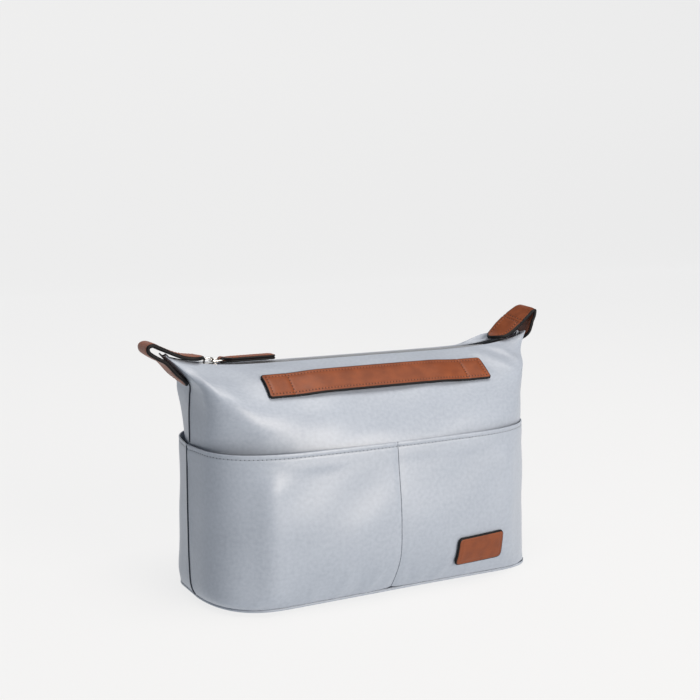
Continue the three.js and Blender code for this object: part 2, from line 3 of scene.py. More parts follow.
import bpy
import numpy as np
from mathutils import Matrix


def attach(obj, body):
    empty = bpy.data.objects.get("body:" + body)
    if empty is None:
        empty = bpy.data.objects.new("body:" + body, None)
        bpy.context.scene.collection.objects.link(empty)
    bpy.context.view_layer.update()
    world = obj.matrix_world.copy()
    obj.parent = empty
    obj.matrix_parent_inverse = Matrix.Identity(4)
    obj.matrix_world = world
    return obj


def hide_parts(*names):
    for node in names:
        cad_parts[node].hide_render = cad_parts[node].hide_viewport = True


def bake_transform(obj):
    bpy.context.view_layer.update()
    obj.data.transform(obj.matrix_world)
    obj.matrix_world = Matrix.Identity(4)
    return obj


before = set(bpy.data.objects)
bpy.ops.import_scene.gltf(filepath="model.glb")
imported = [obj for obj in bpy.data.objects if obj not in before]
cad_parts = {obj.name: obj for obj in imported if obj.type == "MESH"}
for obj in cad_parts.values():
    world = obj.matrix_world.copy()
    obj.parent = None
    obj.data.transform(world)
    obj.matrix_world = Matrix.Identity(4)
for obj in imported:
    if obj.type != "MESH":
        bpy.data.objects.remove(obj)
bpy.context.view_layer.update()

# Base: a flat cloth bottom with a soft rolled edge, sewn to the walls just above the table.
# Pale blue-grey nylon twill, turned in at the seam, with a stiff plastic board lying on it inside.
mm = 0.001
twill_light = "#9ca5b2"
twill_dark = "#8f98a5"
twill_rib = 0.9 * mm
twill_slub = 2.6 * mm
twill_shade_patch = 45 * mm

# The walls' shape, in millimetres and in shares of them. The base needs it, as it is cut to their foot.
body_half_length = 121
body_half_depth = 63
belt_height = 104
zip_height = 152.5
zip_rise = zip_height - belt_height
bottom_edge = 1.5
rise_power = 6
seam_gap = 0.3
seam_roll = 1.0
seam_edge = seam_gap + seam_roll
lower_seam = [(0.949, 0), (0.99, 0.067), (1, 0.24), (1, 0.48), (0.999, 0.77), (0.997, 1)]
lower_middle = [0.743, 0.825, 0.965, 1, 0.94, 0.892]
pocket_half_length = 122.8
pocket_half_depth = 56.5
pocket_height = 102.6
pocket_stand_off = 1.8
pocket_seam = [0.988, 0.998, 1, 1, 0.998]
pocket_fold = [(0.966, 0.942), (0.956, 0.95), (0.943, 0.963), (0.937, 0.952)]
pocket_round = [(0.64, 0.79), (0.655, 0.8), (0.66, 0.79), (0.61, 0.88)]
# The foot of each pocket end, below the rows that all share: the seam, the fold and the corner's roundness.
pocket_foot = {
    "left": (0.963, [(0.92, 0.85), (0.968, 0.925)], [(0.79, 0.67), (0.68, 0.77)]),
    "back_left": (0.963, [(0.97, 0.87), (0.978, 0.933)], [(0.42, 0.9), (0.62, 0.77)]),
    "right": (0.936, [(0.952, 0.92), (0.959, 0.955)], [(0.34, 0.62), (0.55, 0.74)])}


def linear(colour):
    """An sRGB hex colour as the shader's linear red, green, blue and alpha"""
    parts = [int(colour[i:i + 2], 16) / 255 for i in (1, 3, 5)]
    return [p / 12.92 if p <= 0.04045 else ((p + 0.055) / 1.055) ** 2.4 for p in parts] + [1]


def add(tree, kind, settings):
    """Adds a node. A setting is a property's value, an input's value, or the socket that feeds it"""
    made = tree.nodes.new(kind)
    properties = [key for key in settings if isinstance(key, str) and key not in made.inputs]
    for key in properties:
        setattr(made, key, settings[key])
    for key, value in settings.items():
        if key in properties:
            continue
        if isinstance(value, bpy.types.NodeSocket):
            tree.links.new(value, made.inputs[key])
        else:
            made.inputs[key].default_value = value
    return made


def new_material(name, **surface):
    """A material of that name, its node tree, and its shader with the given sockets set"""
    made = bpy.data.materials.new(name)
    made.use_nodes = True
    shader = made.node_tree.nodes["Principled BSDF"]
    for key, value in surface.items():
        shader.inputs[key.replace("_", " ")].default_value = value
    return made, made.node_tree, shader


def two_tones(tree, factor, dark, light):
    """A colour socket between two hex colours"""
    tones = {"data_type": "RGBA", 0: factor, 6: linear(dark), 7: linear(light)}
    return add(tree, "ShaderNodeMix", tones).outputs[2]


def woven(name, dark, light, rib, slub, patch, depth, **surface):
    """A ribbed cloth: diagonal ribs, uneven yarn, and broad soft changes of tone"""
    made, tree, shader = new_material(name, **surface)
    place = add(tree, "ShaderNodeAttribute", {"attribute_name": "cloth"}).outputs["Vector"]
    ribs = add(tree, "ShaderNodeTexWave", {
        "bands_direction": "DIAGONAL", "Vector": place, "Scale": math.tau / (10 * rib), "Distortion": 0.6,
        "Detail": 1.0, "Detail Scale": 2.0}).outputs["Fac"]
    yarn, broad = (
        add(tree, "ShaderNodeTexNoise", {"Vector": place, "Scale": scale, "Detail": detail}).outputs["Fac"]
        for scale, detail in ((1 / slub, 3.0), (1 / patch, 1.0)))
    weave = add(tree, "ShaderNodeMath", {"operation": "MULTIPLY_ADD", 0: ribs, 1: 0.35, 2: yarn}).outputs[0]
    tone = add(tree, "ShaderNodeMath", {"operation": "MULTIPLY_ADD", 0: broad, 1: 0.5, 2: yarn}).outputs[0]
    spread = add(tree, "ShaderNodeMapRange", {"Value": tone, "From Min": 0.45, "From Max": 1.05}).outputs[0]
    tree.links.new(two_tones(tree, spread, dark, light), shader.inputs["Base Color"])
    bump = add(tree, "ShaderNodeBump", {"Height": weave, "Distance": depth, "Strength": 0.6})
    tree.links.new(bump.outputs[0], shader.inputs["Normal"])
    return made


# Nylon twill woven tight and calendered: fine diagonal ribs and a satin bloom where the light grazes.
# The real ribs are under 0.4 mm apart, so they are drawn about twice as coarse to show at all.
nylon_twill = woven(
    "nylon_twill", twill_dark, twill_light, twill_rib, twill_slub, twill_shade_patch, 0.05 * mm,
    Roughness=0.4, IOR=1.53, Specular_IOR_Level=0.5, Sheen_Weight=0.12, Sheen_Roughness=0.35)
same_point = 1e-4


def guide(points):
    """A smooth line through points, asked for at any level from 0 to the last point's number"""
    given = np.array(points, float)
    run = np.vstack([2 * given[0] - given[1], given, 2 * given[-1] - given[-2]])

    def at(level):
        level = np.clip(np.asarray(level, float), 0, len(given) - 1)
        span = np.minimum(level.astype(int), len(given) - 2)
        t = (level - span)[..., None]
        a, b, c, d = (run[span + k] for k in range(4))
        before, middle, after = (
            np.sqrt(np.linalg.norm(q - p, axis=-1, keepdims=True)) for p, q in ((a, b), (b, c), (c, d)))
        middle = np.where(middle < same_point, 1, middle)
        before = np.where(before < same_point, middle, before)
        after = np.where(after < same_point, middle, after)
        start = ((b - a) / before - (c - a) / (before + middle) + (c - b) / middle) * middle
        end = ((c - b) / middle - (d - b) / (middle + after) + (d - c) / after) * middle
        return b + t * (start + t * (3 * (c - b) - 2 * start - end + t * (2 * (b - c) + start + end)))

    return at


def half_skin(guides, level, across):
    """The right half of a skin shaped by four guide lines"""
    seam, fold, middle, corner = (line(level) for line in guides)
    place = across[..., None]

    def along(x):
        share = x / fold[..., :1]
        y = middle[..., 1:2] + (fold[..., 1:2] - middle[..., 1:2]) * share ** 2
        z = middle[..., 2:] + (fold[..., 2:] - middle[..., 2:]) * share ** rise_power
        return np.concatenate([x, y, z], -1)

    front_end = fold[..., :1] - corner[..., 1:2]
    to_seam = seam - fold
    reach = np.minimum(1, corner[..., :1] / np.linalg.norm(to_seam, axis=-1, keepdims=True))
    corner_end = fold + to_seam * reach
    turn = np.clip(place - 1, 0, 1)
    bend = (1 - turn) ** 2 * along(front_end) + 2 * turn * (1 - turn) * fold + turn ** 2 * corner_end
    end = corner_end + (seam - corner_end) * np.clip(place - 2, 0, 1)
    return np.where(place <= 1, along(front_end * np.minimum(place, 1)), np.where(place <= 2, bend, end))


def skin(ends, level, across):
    """Points of the outer skin, whose two ends differ a little as a filled pouch's do. Across runs 0 to 1
    along the front, to 2 round the corner and to 3 along the end, with a minus sign at the left"""
    level, across = np.broadcast_arrays(np.asarray(level, float), np.asarray(across, float))
    left, right = (half_skin(ends[end], level, np.abs(across)) for end in ("left", "right"))
    return np.where(across[..., None] < 0, left * (-1, 1, 1), right)


def lower_height(share, top=belt_height):
    """The height at a share of the wall below the belt, or below another top"""
    return bottom_edge + (top - bottom_edge) * share


def upper_height(share):
    """The height at a share of the wall from the belt to the zip"""
    return belt_height + zip_rise * share


body_lower_fold = [(0.935, 0.49), (0.969, 0.53), (0.96, 0.571), (0.951, 0.571), (0.936, 0.58)]
body_upper_seam = {
    "left": [(0.9965, 0.41), (0.992, 0.62), (0.992, 0.78), (1.07, 0.97)],
    "right": [(0.9965, 0.41), (0.992, 0.62), (0.998, 0.78), (1.1, 0.97)]}
body_belt_fold = {"left": (0.938, 0.62), "right": (0.939, 0.772)}
body_upper_fold = {
    "left": [(0.952, 0.68, 0.39), (0.982, 0.62, 0.66), (0.995, 0.48, 0.804), (1.045, 0.28, 0.959)],
    "right": [(0.952, 0.72, 0.39), (0.983, 0.635, 0.66), (1.02, 0.48, 0.804), (1.045, 0.28, 0.959)]}
body_upper_middle = [(0.746, 0.35), (0.571, 0.6), (0.389, 0.79), (0.222, 0.924)]
body_round = [
    (0.35, 0.54), (0.36, 0.7), (0.36, 0.7), (0.36, 0.7), (0.36, 0.68), (0.36, 0.7),
    (0.32, 0.64), (0.26, 0.48), (0.14, 0.34), (0.06, 0.22), (0.016, 0.08)]
tip_half_span = 137.5
tip_height = 161.5
tip_seam_drop = 1.5
tip_half_depth = 8
mouth_half_gap = 6
# The four guide lines of each end, as skin() takes them: seam, fold, middle and the corner's roundness.
body_guides = {end: [
    guide([(body_half_length * x, -seam_edge, lower_height(z)) for x, z in lower_seam]
          + [(body_half_length * x, -seam_edge, upper_height(z)) for x, z in body_upper_seam[end]]
          + [(tip_half_span, -seam_edge, tip_height - tip_seam_drop)]),
    guide([(body_half_length * x, -body_half_depth * y, lower_height(row[1]))
           for (x, y), row in zip(body_lower_fold + [body_belt_fold[end]], lower_seam)]
          + [(body_half_length * x, -body_half_depth * y, upper_height(z))
             for x, y, z in body_upper_fold[end]]
          + [(tip_half_span, -tip_half_depth, tip_height)]),
    guide([(0, -body_half_depth * y, lower_height(row[1])) for y, row in zip(lower_middle, lower_seam)]
          + [(0, -body_half_depth * y, upper_height(z)) for y, z in body_upper_middle]
          + [(0, -mouth_half_gap, zip_height)]),
    guide([(body_half_depth * end_part, body_half_depth * front, 0) for end_part, front in body_round])]
    for end in ("left", "right")}


def tangent(line, level, step=0.001):
    """The direction of a guide line at a level"""
    ahead = line(np.asarray(level) + step) - line(np.asarray(level) - step)
    return ahead / np.linalg.norm(ahead, axis=-1, keepdims=True)


def pocket_middle(level, body_middle=body_guides["left"][2]):
    """How far forward the pocket's middle stands, off the wall behind it"""
    return body_middle(level)[1] - pocket_stand_off / tangent(body_middle, level)[2]


pocket_heights = [lower_height(z, pocket_height) for _, z in lower_seam]
pocket_guides = {end: [
    guide([(pocket_half_length * x, -seam_edge, z) for x, z in zip([seam] + pocket_seam, pocket_heights)]),
    guide([(pocket_half_length * x, -pocket_half_depth * y, z)
           for (x, y), z in zip(folds + pocket_fold, pocket_heights)]),
    guide([(0, pocket_middle(level), z) for level, z in enumerate(pocket_heights)]),
    guide([(pocket_half_depth * end_part, pocket_half_depth * front, 0)
           for end_part, front in rounds + pocket_round])]
    for end, (seam, folds, rounds) in pocket_foot.items()}
back_pocket_guides = {"left": pocket_guides["back_left"], "right": pocket_guides["right"]}
front_steps = 40
corner_steps = 40
end_steps = 16
half_across = np.concatenate([
    np.linspace(0, 1, front_steps + 1), np.linspace(1, 2, corner_steps + 1)[1:],
    np.linspace(2, 3, end_steps + 1)[1:]])
whole_across = np.concatenate([-half_across[:0:-1], half_across])


def mesh_object(name, points, faces, materials, face_materials=None, cloth=None, sharp=50):
    """An object of that name from points in millimetres, smooth except at sharp edges"""
    mesh = bpy.data.meshes.new(name)
    mesh.from_pydata((np.asarray(points) * mm).tolist(), [], [list(map(int, face)) for face in faces])
    for material in materials:
        mesh.materials.append(material)
    if face_materials is not None:
        mesh.polygons.foreach_set("material_index", np.asarray(face_materials, np.int32))
    if cloth is not None:
        kept = mesh.attributes.new("cloth", "FLOAT_VECTOR", "POINT")
        kept.data.foreach_set("vector", (np.asarray(cloth) * mm).astype(np.float32).ravel())
    mesh.shade_smooth()
    mesh.set_sharp_from_angle(angle=math.radians(sharp))
    made = bpy.data.objects.new(name, mesh)
    bpy.context.scene.collection.objects.link(made)
    return made


def quads(index):
    """Faces between neighbours of a grid of point numbers"""
    return np.stack([index[:-1, :-1], index[:-1, 1:], index[1:, 1:], index[1:, :-1]], -1).reshape(-1, 4)


def unit(vectors):
    """Vectors at length 1, and zero vectors as they are"""
    return vectors / np.maximum(np.linalg.norm(vectors, axis=-1, keepdims=True), 1e-12)


def outward(points):
    """The outward direction at each point of a grid"""
    return unit(np.cross(np.gradient(points, axis=1), np.gradient(points, axis=0)))


base_outline = skin(pocket_guides, 0, whole_across)
base_outline[:, 1] = np.where(np.abs(whole_across) > 2.999, 0, base_outline[:, 1])
base_outline = np.vstack([base_outline, skin(back_pocket_guides, 0, whole_across)[-2:0:-1] * (1, -1, 1)])
base_side = unit(np.roll(base_outline, -1, 0) - np.roll(base_outline, 1, 0))
base_out = np.stack([base_side[:, 1], -base_side[:, 0], np.zeros(len(base_side))], 1)
# Each ring of the rolled rim, from under the base round its edge to the top: how high and how far in it lies.
base_rings = [
    (0.0, 3.0), (0.0, 1.6), (0.12, 0.8), (0.45, 0.15), (1.05, -0.15), (1.65, -0.05), (2.1, 0.35),
    (2.3, 0.9), (2.3, 2.6), (1.3, 3.0)]
base_points = np.vstack([
    base_outline * (1, 1, 0) - base_out * inset + (0, 0, height) for height, inset in base_rings])
base_count = len(base_outline)
base_index = np.arange(len(base_points)).reshape(len(base_rings), base_count)
base_faces = quads(np.hstack([base_index, base_index[:, :1]])).tolist()
for ring, flip in ((base_index[0], True), (base_index[-1], False)):
    for i in range(base_count // 2):
        corners = (i, i + 1, base_count - i - 1, -i % base_count)
        face = list(dict.fromkeys(ring[corner] for corner in corners))
        base_faces.append(face[::-1] if flip else face)
base_cloth = mesh_object("base_cloth", base_points, base_faces, [nylon_twill], cloth=base_points)
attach(base_cloth, "root")
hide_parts("base_panel")

# Board: a loose plastic sheet cut to the bottom's outline, which keeps the pouch standing square.
# White polyethylene, sawn and left matt, with a faint drag from the extruder's rollers.
board_grey = "#cfd0d1"
board_white = "#d8d9da"
roller_drag = (1, 30, 30)
roller_marks = 40.0
board_material, board_tree, board_shader = new_material("polyethylene_board", Roughness=0.55, IOR=1.51)
board_place = add(board_tree, "ShaderNodeTexCoord", {}).outputs["Object"]
board_drag = add(board_tree, "ShaderNodeMapping", {"Vector": board_place, "Scale": roller_drag}).outputs[0]
board_grain = add(board_tree, "ShaderNodeTexNoise", {
    "Vector": board_drag, "Scale": roller_marks}).outputs["Fac"]
board_tones = two_tones(board_tree, board_grain, board_grey, board_white)
board_tree.links.new(board_tones, board_shader.inputs["Base Color"])
board_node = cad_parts["base_board"]
board_node.data.materials.clear()
board_node.data.materials.append(board_material)

# Base lining: the thin cloth that covers the board inside, slightly puffed over it.
# Plain nylon taffeta, glued to the board's top and caught in the wall seams. Its plain weave has little
# shine, so the inside reads as a soft shade darker than the twill. Its yarns are drawn coarser, to show.
lining_dark = "#747d89"
lining_light = "#828b97"
lining_thickness = 0.7
base_lining_fit = 0.955
base_lining_floor = 4.35
base_lining_puff = 0.5
rim_steps = 3


def walked_along(points, axis=0):
    """How far each point lies from the start of its line"""
    steps = np.linalg.norm(np.diff(points, axis=axis), axis=-1)
    return np.insert(np.cumsum(steps, axis=axis), 0, 0, axis=axis)


def shell(name, points, outer, inner, materials, round_sides="bltr", edge_material=0, start=0):
    """A closed sheet from a grid of points, with half-round edges on the sides named by their first letters:
    bottom, left, top, right. Gives the object, and the points and outward directions of its face"""
    rows, columns = points.shape[:2]
    out = outward(points)
    skins = [points + out * np.broadcast_to(offset, (rows, columns))[..., None] for offset in (outer, inner)]
    index = np.arange(rows * columns).reshape(rows, columns)
    away = np.zeros_like(points)
    for side in round_sides:
        grid, grid_away = (points, away) if side in "bt" else (points.swapaxes(0, 1), away.swapaxes(0, 1))
        edge, beside = (0, 1) if side in "bl" else (-1, -2)
        run = unit(np.gradient(grid[edge], axis=0))
        step = grid[edge] - grid[beside]
        grid_away[edge] += unit(step - run * (step * run).sum(-1, keepdims=True))
    away = unit(away) * (np.linalg.norm(away, axis=-1, keepdims=True) > 1e-6)
    loop = np.concatenate([index[0, :-1], index[:-1, -1], index[-1, :0:-1], index[:0:-1, 0]])
    middle = (skins[0] + skins[1]).reshape(-1, 3)[loop] / 2
    half = (skins[0] - skins[1]).reshape(-1, 3)[loop] / 2
    reach = np.linalg.norm(half, axis=1, keepdims=True)
    turns = [math.pi * k / (rim_steps + 1) for k in range(1, rim_steps + 1)]
    rims = [middle + half * math.cos(a) + away.reshape(-1, 3)[loop] * reach * math.sin(a) for a in turns]
    every = np.vstack([skins[0].reshape(-1, 3), skins[1].reshape(-1, 3), *rims])
    numbers = [loop]
    numbers += [2 * rows * columns + k * len(loop) + np.arange(len(loop)) for k in range(rim_steps)]
    numbers += [loop + rows * columns]
    rings = np.array([np.append(ring, ring[0]) for ring in numbers])
    faces = np.vstack([quads(index), quads(index + rows * columns)[:, ::-1], quads(rings)[:, ::-1]])
    kinds = np.zeros(len(faces), int)
    kinds[2 * (rows - 1) * (columns - 1):] = edge_material
    u = walked_along(points, axis=1)
    v = walked_along(points)
    u -= u[:, start:start + 1]
    flat = np.stack([u, v, np.zeros_like(u)], -1).reshape(-1, 3)
    cloth = np.vstack([flat, flat, *[flat[loop]] * rim_steps])
    return mesh_object(name, every, faces, materials, kinds, cloth), skins[0], out


nylon_taffeta = woven(
    "nylon_taffeta", lining_dark, lining_light, 0.7 * mm, 2 * mm, 30 * mm, 0.03 * mm,
    Roughness=0.6, IOR=1.53, Specular_IOR_Level=0.3, Sheen_Weight=0.15, Sheen_Roughness=0.4)
lining_front = skin(body_guides, 0.1, whole_across[4:-4:2])
lining_front[:, :2] *= base_lining_fit
lining_share = np.linspace(0, 1, 24)[:, None, None]
lining_grid = lining_front + (lining_front * (1, -1, 1) - lining_front) * lining_share
lining_grid[..., 2] = base_lining_floor + base_lining_puff * np.sin(math.pi * lining_share[..., 0])
base_lining = shell("base_lining_cloth", lining_grid, lining_thickness, 0, [nylon_taffeta])[0]
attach(base_lining, "root")
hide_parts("base_lining")

# Body walls below the belt: the inner wall of each side, mostly hidden behind the slip pocket.
# One twill sheet a side, wrapped half round the ends, its end edges rolled into the side seams.
cloth_thickness = 0.9
hem_lap = 1.5
wall_clearance = 0.2
wall_allowance = 1.4
sheet_sides = {"front": 1, "back": -1}
# The guides' level at the belt, which is the top of the pockets' guides.
belt_level = 5


def side_of(points, side):
    """A back sheet is the front's mirrored, with its columns turned round so that it faces outward"""
    return points if side > 0 else points[:, ::-1] * (1, -1, 1)


def smooth(value, low, high):
    """Goes from 0 at low to 1 at high, gently at both"""
    share = np.clip((value - low) / (high - low), 0, 1)
    return share * share * (3 - 2 * share)


def turned_in(points, side, depth, radius=seam_roll):
    """Rolls one side of a sheet inward, as a seam does: a quarter turn, then a straight allowance"""
    there, back = {
        "right": (lambda p: p, lambda p: p),
        "left": (lambda p: p[:, ::-1], lambda p: p[:, ::-1]),
        "bottom": (lambda p: p[::-1].swapaxes(0, 1), lambda p: p.swapaxes(0, 1)[::-1])}[side]
    turned = there(points)
    out = there(outward(points))[:, -1]
    on = unit(turned[:, -1] - turned[:, -2])
    if side in ("left", "right"):
        out = unit(out * (1, 0, 1))
        on = unit(on * (0, 1, 0))
    angles = np.radians([15, 30, 45, 60, 75, 90])
    more = [turned[:, -1] + on * radius * math.sin(a) - out * radius * (1 - math.cos(a)) for a in angles]
    more += [more[-1] - out * depth / 2, more[-1] - out * depth]
    return back(np.concatenate([turned, np.stack(more, 1)], 1))


def level_at(ends, heights):
    """The guides' level at each height, up to the belt"""
    levels = np.linspace(0, belt_level, 1001)
    return np.interp(heights, ends["left"][0](levels)[:, 2], levels)


wall_heights = np.concatenate([np.linspace(2.6, 97, 30), [98, 99, 100, 101.5, 103]])
wall_points = skin(body_guides, level_at(body_guides, wall_heights)[:, None], whole_across)
wall_in = -hem_lap * smooth(wall_heights, 96, 99)[:, None, None] - wall_clearance
wall_points = wall_points + outward(wall_points) * wall_in
for side_name, side in sheet_sides.items():
    wall = side_of(turned_in(turned_in(wall_points, "right", wall_allowance), "left", wall_allowance), side)
    wall = shell(f"{side_name}_lower_wall", wall, 0, -cloth_thickness, [nylon_twill])[0]
    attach(wall, "root")

# Body walls above the belt: each side's cloth leans in to the zip and runs out to the two wings.
# Twill, folded under along the zip. The middle opens with the mouth; each side is made as two halves that
# meet there.
zip_level = 10
upper_thickness = 1.1
upper_allowance = 1.8
wall_slack = {"front": 0, "back": 2.2}
# The rows' levels on the guides, from just below the belt up to the zip, closer together at the top.
upper_levels = np.concatenate([
    level_at(body_guides, [100.6, 102.4]), np.linspace(belt_level, 9.6, 44),
    [9.7, 9.8, 9.88, 9.94, zip_level]])


def ridge(x, z, start, end, height, width):
    """A soft fold along the line between two points of the wall, in (x, z)"""
    start, end = np.array(start, float), np.array(end, float)
    run = end - start
    share = ((x - start[0]) * run[0] + (z - start[1]) * run[1]) / (run @ run)
    off = ((x - start[0]) * run[1] - (z - start[1]) * run[0]) / np.linalg.norm(run)
    beyond = np.maximum(np.abs(share - 0.5) - 0.5, 0) * np.linalg.norm(run)
    taper = np.clip(1 - (2 * share - 1) ** 2, 0, 1)
    return height * taper * np.exp(-(off / width) ** 2) * np.exp(-(beyond / width) ** 2)


# Each fold's two ends in (x, z), its height and its width.
wing_folds = [
    ((86, 153), (112, 138), 0.9, 2.4), ((92, 155), (116, 145), -0.8, 2.0),
    ((80, 150), (97, 137), -0.6, 2.2), ((104, 156), (121, 140), 0.7, 2.6),
    ((118, 148), (104, 112), 0.7, 6), ((-125, 153), (-84, 112), 1.6, 7.5),
    ((-124, 153), (-110, 134), 0.9, 2.6), ((-98, 152), (-78, 142), 0.3, 3.5)]
wing_swell_x = 112
wing_swell_width = 17
wing_swell_height = 5.5
# Each slow wave: how fast it runs along x and z, its phase, and its height.
sag_waves = [(0.021, 0.013, 0.3, 0.28), (-0.034, 0.026, 1.9, 0.2), (0.052, -0.018, 4.1, 0.13)]


def slack(x, z, shift):
    """The gentle unevenness of cloth that hangs between seams"""
    return sum(size * np.sin(x * fx * math.tau / 2 + z * fz * math.tau + phase + shift)
               for fx, fz, phase, size in sag_waves)


upper_points = skin(body_guides, upper_levels[:, None], whole_across)
upper_out = outward(upper_points)
middle_column = len(whole_across) // 2
for side_name, side in sheet_sides.items():
    x, z = upper_points[..., 0] * side, upper_points[..., 2]
    fade = smooth(z, 103, 112) * smooth(zip_level - upper_levels[:, None], 0.05, 0.8)
    fade = fade * (1 - smooth(np.abs(whole_across), 2.6, 3))
    relief = slack(x, z, wall_slack[side_name]) * fade
    relief += sum(ridge(x, z, *fold) for fold in wing_folds) * fade
    sheet = upper_points + upper_out * relief[..., None]
    if side < 0:
        swell = np.exp(-((upper_points[..., 0] - wing_swell_x) / wing_swell_width) ** 2)
        swell = swell * smooth(upper_levels, 8.3, 9.2)[:, None]
        swell = swell * (1 - smooth(upper_levels, 9.7, zip_level))[:, None]
        sheet[..., 2] += wing_swell_height * swell
    halves = {"left": sheet[:, :middle_column + 1], "right": sheet[:, middle_column:]}
    for half_name, half in halves.items():
        half = turned_in(half, half_name, upper_allowance)
        seam_first = (half_name == "left") == (side > 0)
        made = shell(
            f"{side_name}_upper_wall_{half_name}", side_of(half, side), 0, -upper_thickness, [nylon_twill],
            "blt" if seam_first else "brt", start=half.shape[1] - 1 if seam_first else 0)[0]
        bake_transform(made)
        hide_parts(f"{side_name}_panel", f"{side_name}_mouth_panel")

# Lining: the thin cloth inside the walls, below and above the belt, up to the zip tape.
# Plain nylon taffeta, sewn in with the side seams and left free of the wall between them.
lining_offset = -1.6
lining_heights = np.concatenate([np.linspace(6.2, 96, 22), [98, 100, 102.8]])
lining_levels = np.concatenate([level_at(body_guides, [103.3]), np.linspace(5.1, 9, 16)])
lining_across = np.linspace(-2.4, 2.4, 97)
lining_middle = len(lining_across) // 2
lower_lining = skin(body_guides, level_at(body_guides, lining_heights)[:, None], lining_across)
lining_tuck = -hem_lap * smooth(lining_heights, 95, 98)[:, None, None]
lower_lining = lower_lining + outward(lower_lining) * (lining_tuck + lining_offset)
upper_lining = skin(body_guides, lining_levels[:, None], lining_across)
upper_lining = upper_lining + outward(upper_lining) * lining_offset
lining_halves = {"left": upper_lining[:, :lining_middle + 1], "right": upper_lining[:, lining_middle:]}
for side_name, side in sheet_sides.items():
    made = shell(
        f"{side_name}_lower_lining", side_of(lower_lining, side), 0, -lining_thickness, [nylon_taffeta])[0]
    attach(made, "root")
    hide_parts(f"{side_name}_lining")
    for half_name, half in lining_halves.items():
        made = shell(
            f"{side_name}_upper_lining_{half_name}", side_of(half, side), 0, -lining_thickness,
            [nylon_taffeta], "bt")[0]
        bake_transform(made)
        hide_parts(f"{side_name}_mouth_lining", f"{side_name}_lining")

# Slip pockets: a second wall on each side, open at the top and sewn down the middle into two pockets.
# Twill with a turned hem, topstitched 2.4 mm below its edge, and eased into the bottom seam in puckers.
hem_stitch_height = 100.2
hem_depth = 9.5
hem_fold = 0.3
hem_furrow = 0.35
divider_furrow = 0.7
divider_dip = 0.45
pocket_allowance = 0.5
foot_allowance = 0.6
foot_roll = 0.8
pocket_slack = {"front": 0.9, "back": 3.7}
corner_fold_x = 88
corner_fold_width = 9
corner_fold_height = 2.3
pocket_rows = np.concatenate([
    [2.9, 3.3, 3.9, 4.7, 5.8], np.linspace(7.2, 91, 39),
    [92, 93, 93.8, 95, 96.4, 97.6, 98.6, 99.3, 99.8, hem_stitch_height, 100.6, 101.2, 101.8, pocket_height]])
pocket_levels = level_at(pocket_guides, pocket_rows)
# The puckers at the foot, given as the wings' folds are.
puckers = [
    ((-43, 2), (-34, 26), 1.1, 3.4), ((-30, 2), (-25, 19), -0.7, 2.6), ((-22, 2), (-11, 28), 1.0, 3.4),
    ((14, 2), (7, 24), -0.7, 3), ((31, 2), (42, 26), 0.95, 3.4), ((23, 2), (29, 15), -0.5, 2.6),
    ((-62, 2), (-57, 18), 0.6, 3.6), ((55, 2), (60, 12), 0.5, 3), ((-9, 2), (-3, 15), 0.5, 2.5),
    ((98, 2), (95, 13), 0.5, 2.6), ((-98, 2), (-94, 13), 0.5, 3)]
pocket_faces = {}
for side_name, side in sheet_sides.items():
    pocket_points = skin({"front": pocket_guides, "back": back_pocket_guides}[side_name],
                         pocket_levels[:, None], whole_across)
    x, z = pocket_points[..., 0] * side, pocket_points[..., 2]
    hem = hem_fold * smooth(z, pocket_height - hem_depth - 5, pocket_height - hem_depth + 2)
    hem = hem - hem_furrow * np.exp(-((z - hem_stitch_height) / 0.6) ** 2)
    divider = -divider_furrow * np.exp(-(x / 1.9) ** 2) - divider_dip * np.exp(-(x / 9) ** 2)
    still = smooth(z, 3, 12) * (1 - smooth(z, 88, 94)) * (1 - smooth(np.abs(whole_across), 2.6, 3))
    relief = hem + divider + slack(x, z, pocket_slack[side_name]) * 0.8 * still
    corner_fold = corner_fold_height * np.exp(-((np.abs(x) - corner_fold_x) / corner_fold_width) ** 2)
    corner_fold = corner_fold * smooth(z, 4, 16) * (1 - smooth(z, 78, 96))
    relief = relief + corner_fold + sum(ridge(x, z, *pucker) for pucker in puckers)
    sheet = pocket_points + outward(pocket_points) * relief[..., None]
    sheet = turned_in(turned_in(sheet, "right", pocket_allowance), "left", pocket_allowance)
    sheet = side_of(turned_in(sheet, "bottom", foot_allowance, foot_roll), side)
    made, face, out = shell(
        f"{side_name}_slip_pocket", sheet, 0, -cloth_thickness, [nylon_twill], start=sheet.shape[1] // 2)
    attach(made, "root")
    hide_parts(f"{side_name}_pocket")
    pocket_faces[side_name] = (face, out)

# Hem and divider stitching: one line of lockstitch under the pocket's edge and one down its middle.
# Polyester thread dyed to the cloth, 2.7 mm a stitch; each needle hole is a dark dot of painted shade.
stitch_pitch = 2.7
thread_radius = 0.24
thread_twist = {"bands_direction": "DIAGONAL", "Scale": math.tau / (10 * 0.5 * mm)}


def mottled(name, dark, light, pattern, kind="ShaderNodeTexNoise", **surface):
    """A material that goes between two hex colours by one pattern, laid in the piece's own space. Gives the
    material, its node tree, its shader and the pattern's socket"""
    made, tree, shader = new_material(name, **surface)
    place = add(tree, "ShaderNodeTexCoord", {}).outputs["Object"]
    factor = add(tree, kind, {"Vector": place, **pattern}).outputs["Fac"]
    tree.links.new(two_tones(tree, factor, dark, light), shader.inputs["Base Color"])
    return made, tree, shader, factor


# Spun thread: softly matt and a shade under the cloth, its twist as slanting bands, drawn coarser to show.
thread_material = mottled(
    "polyester_thread", "#7d848e", "#8f969f", thread_twist, "ShaderNodeTexWave",
    Roughness=0.5, Sheen_Weight=0.3)[0]
# Where the thread dives into the cloth: painted shade, a dull dark dot that breaks the line into stitches.
painted_hole_shade = mottled(
    "painted_needle_hole_shade", "#2c323b", "#3d444f", {"Scale": 1 / (0.4 * mm)}, Roughness=0.9)[0]
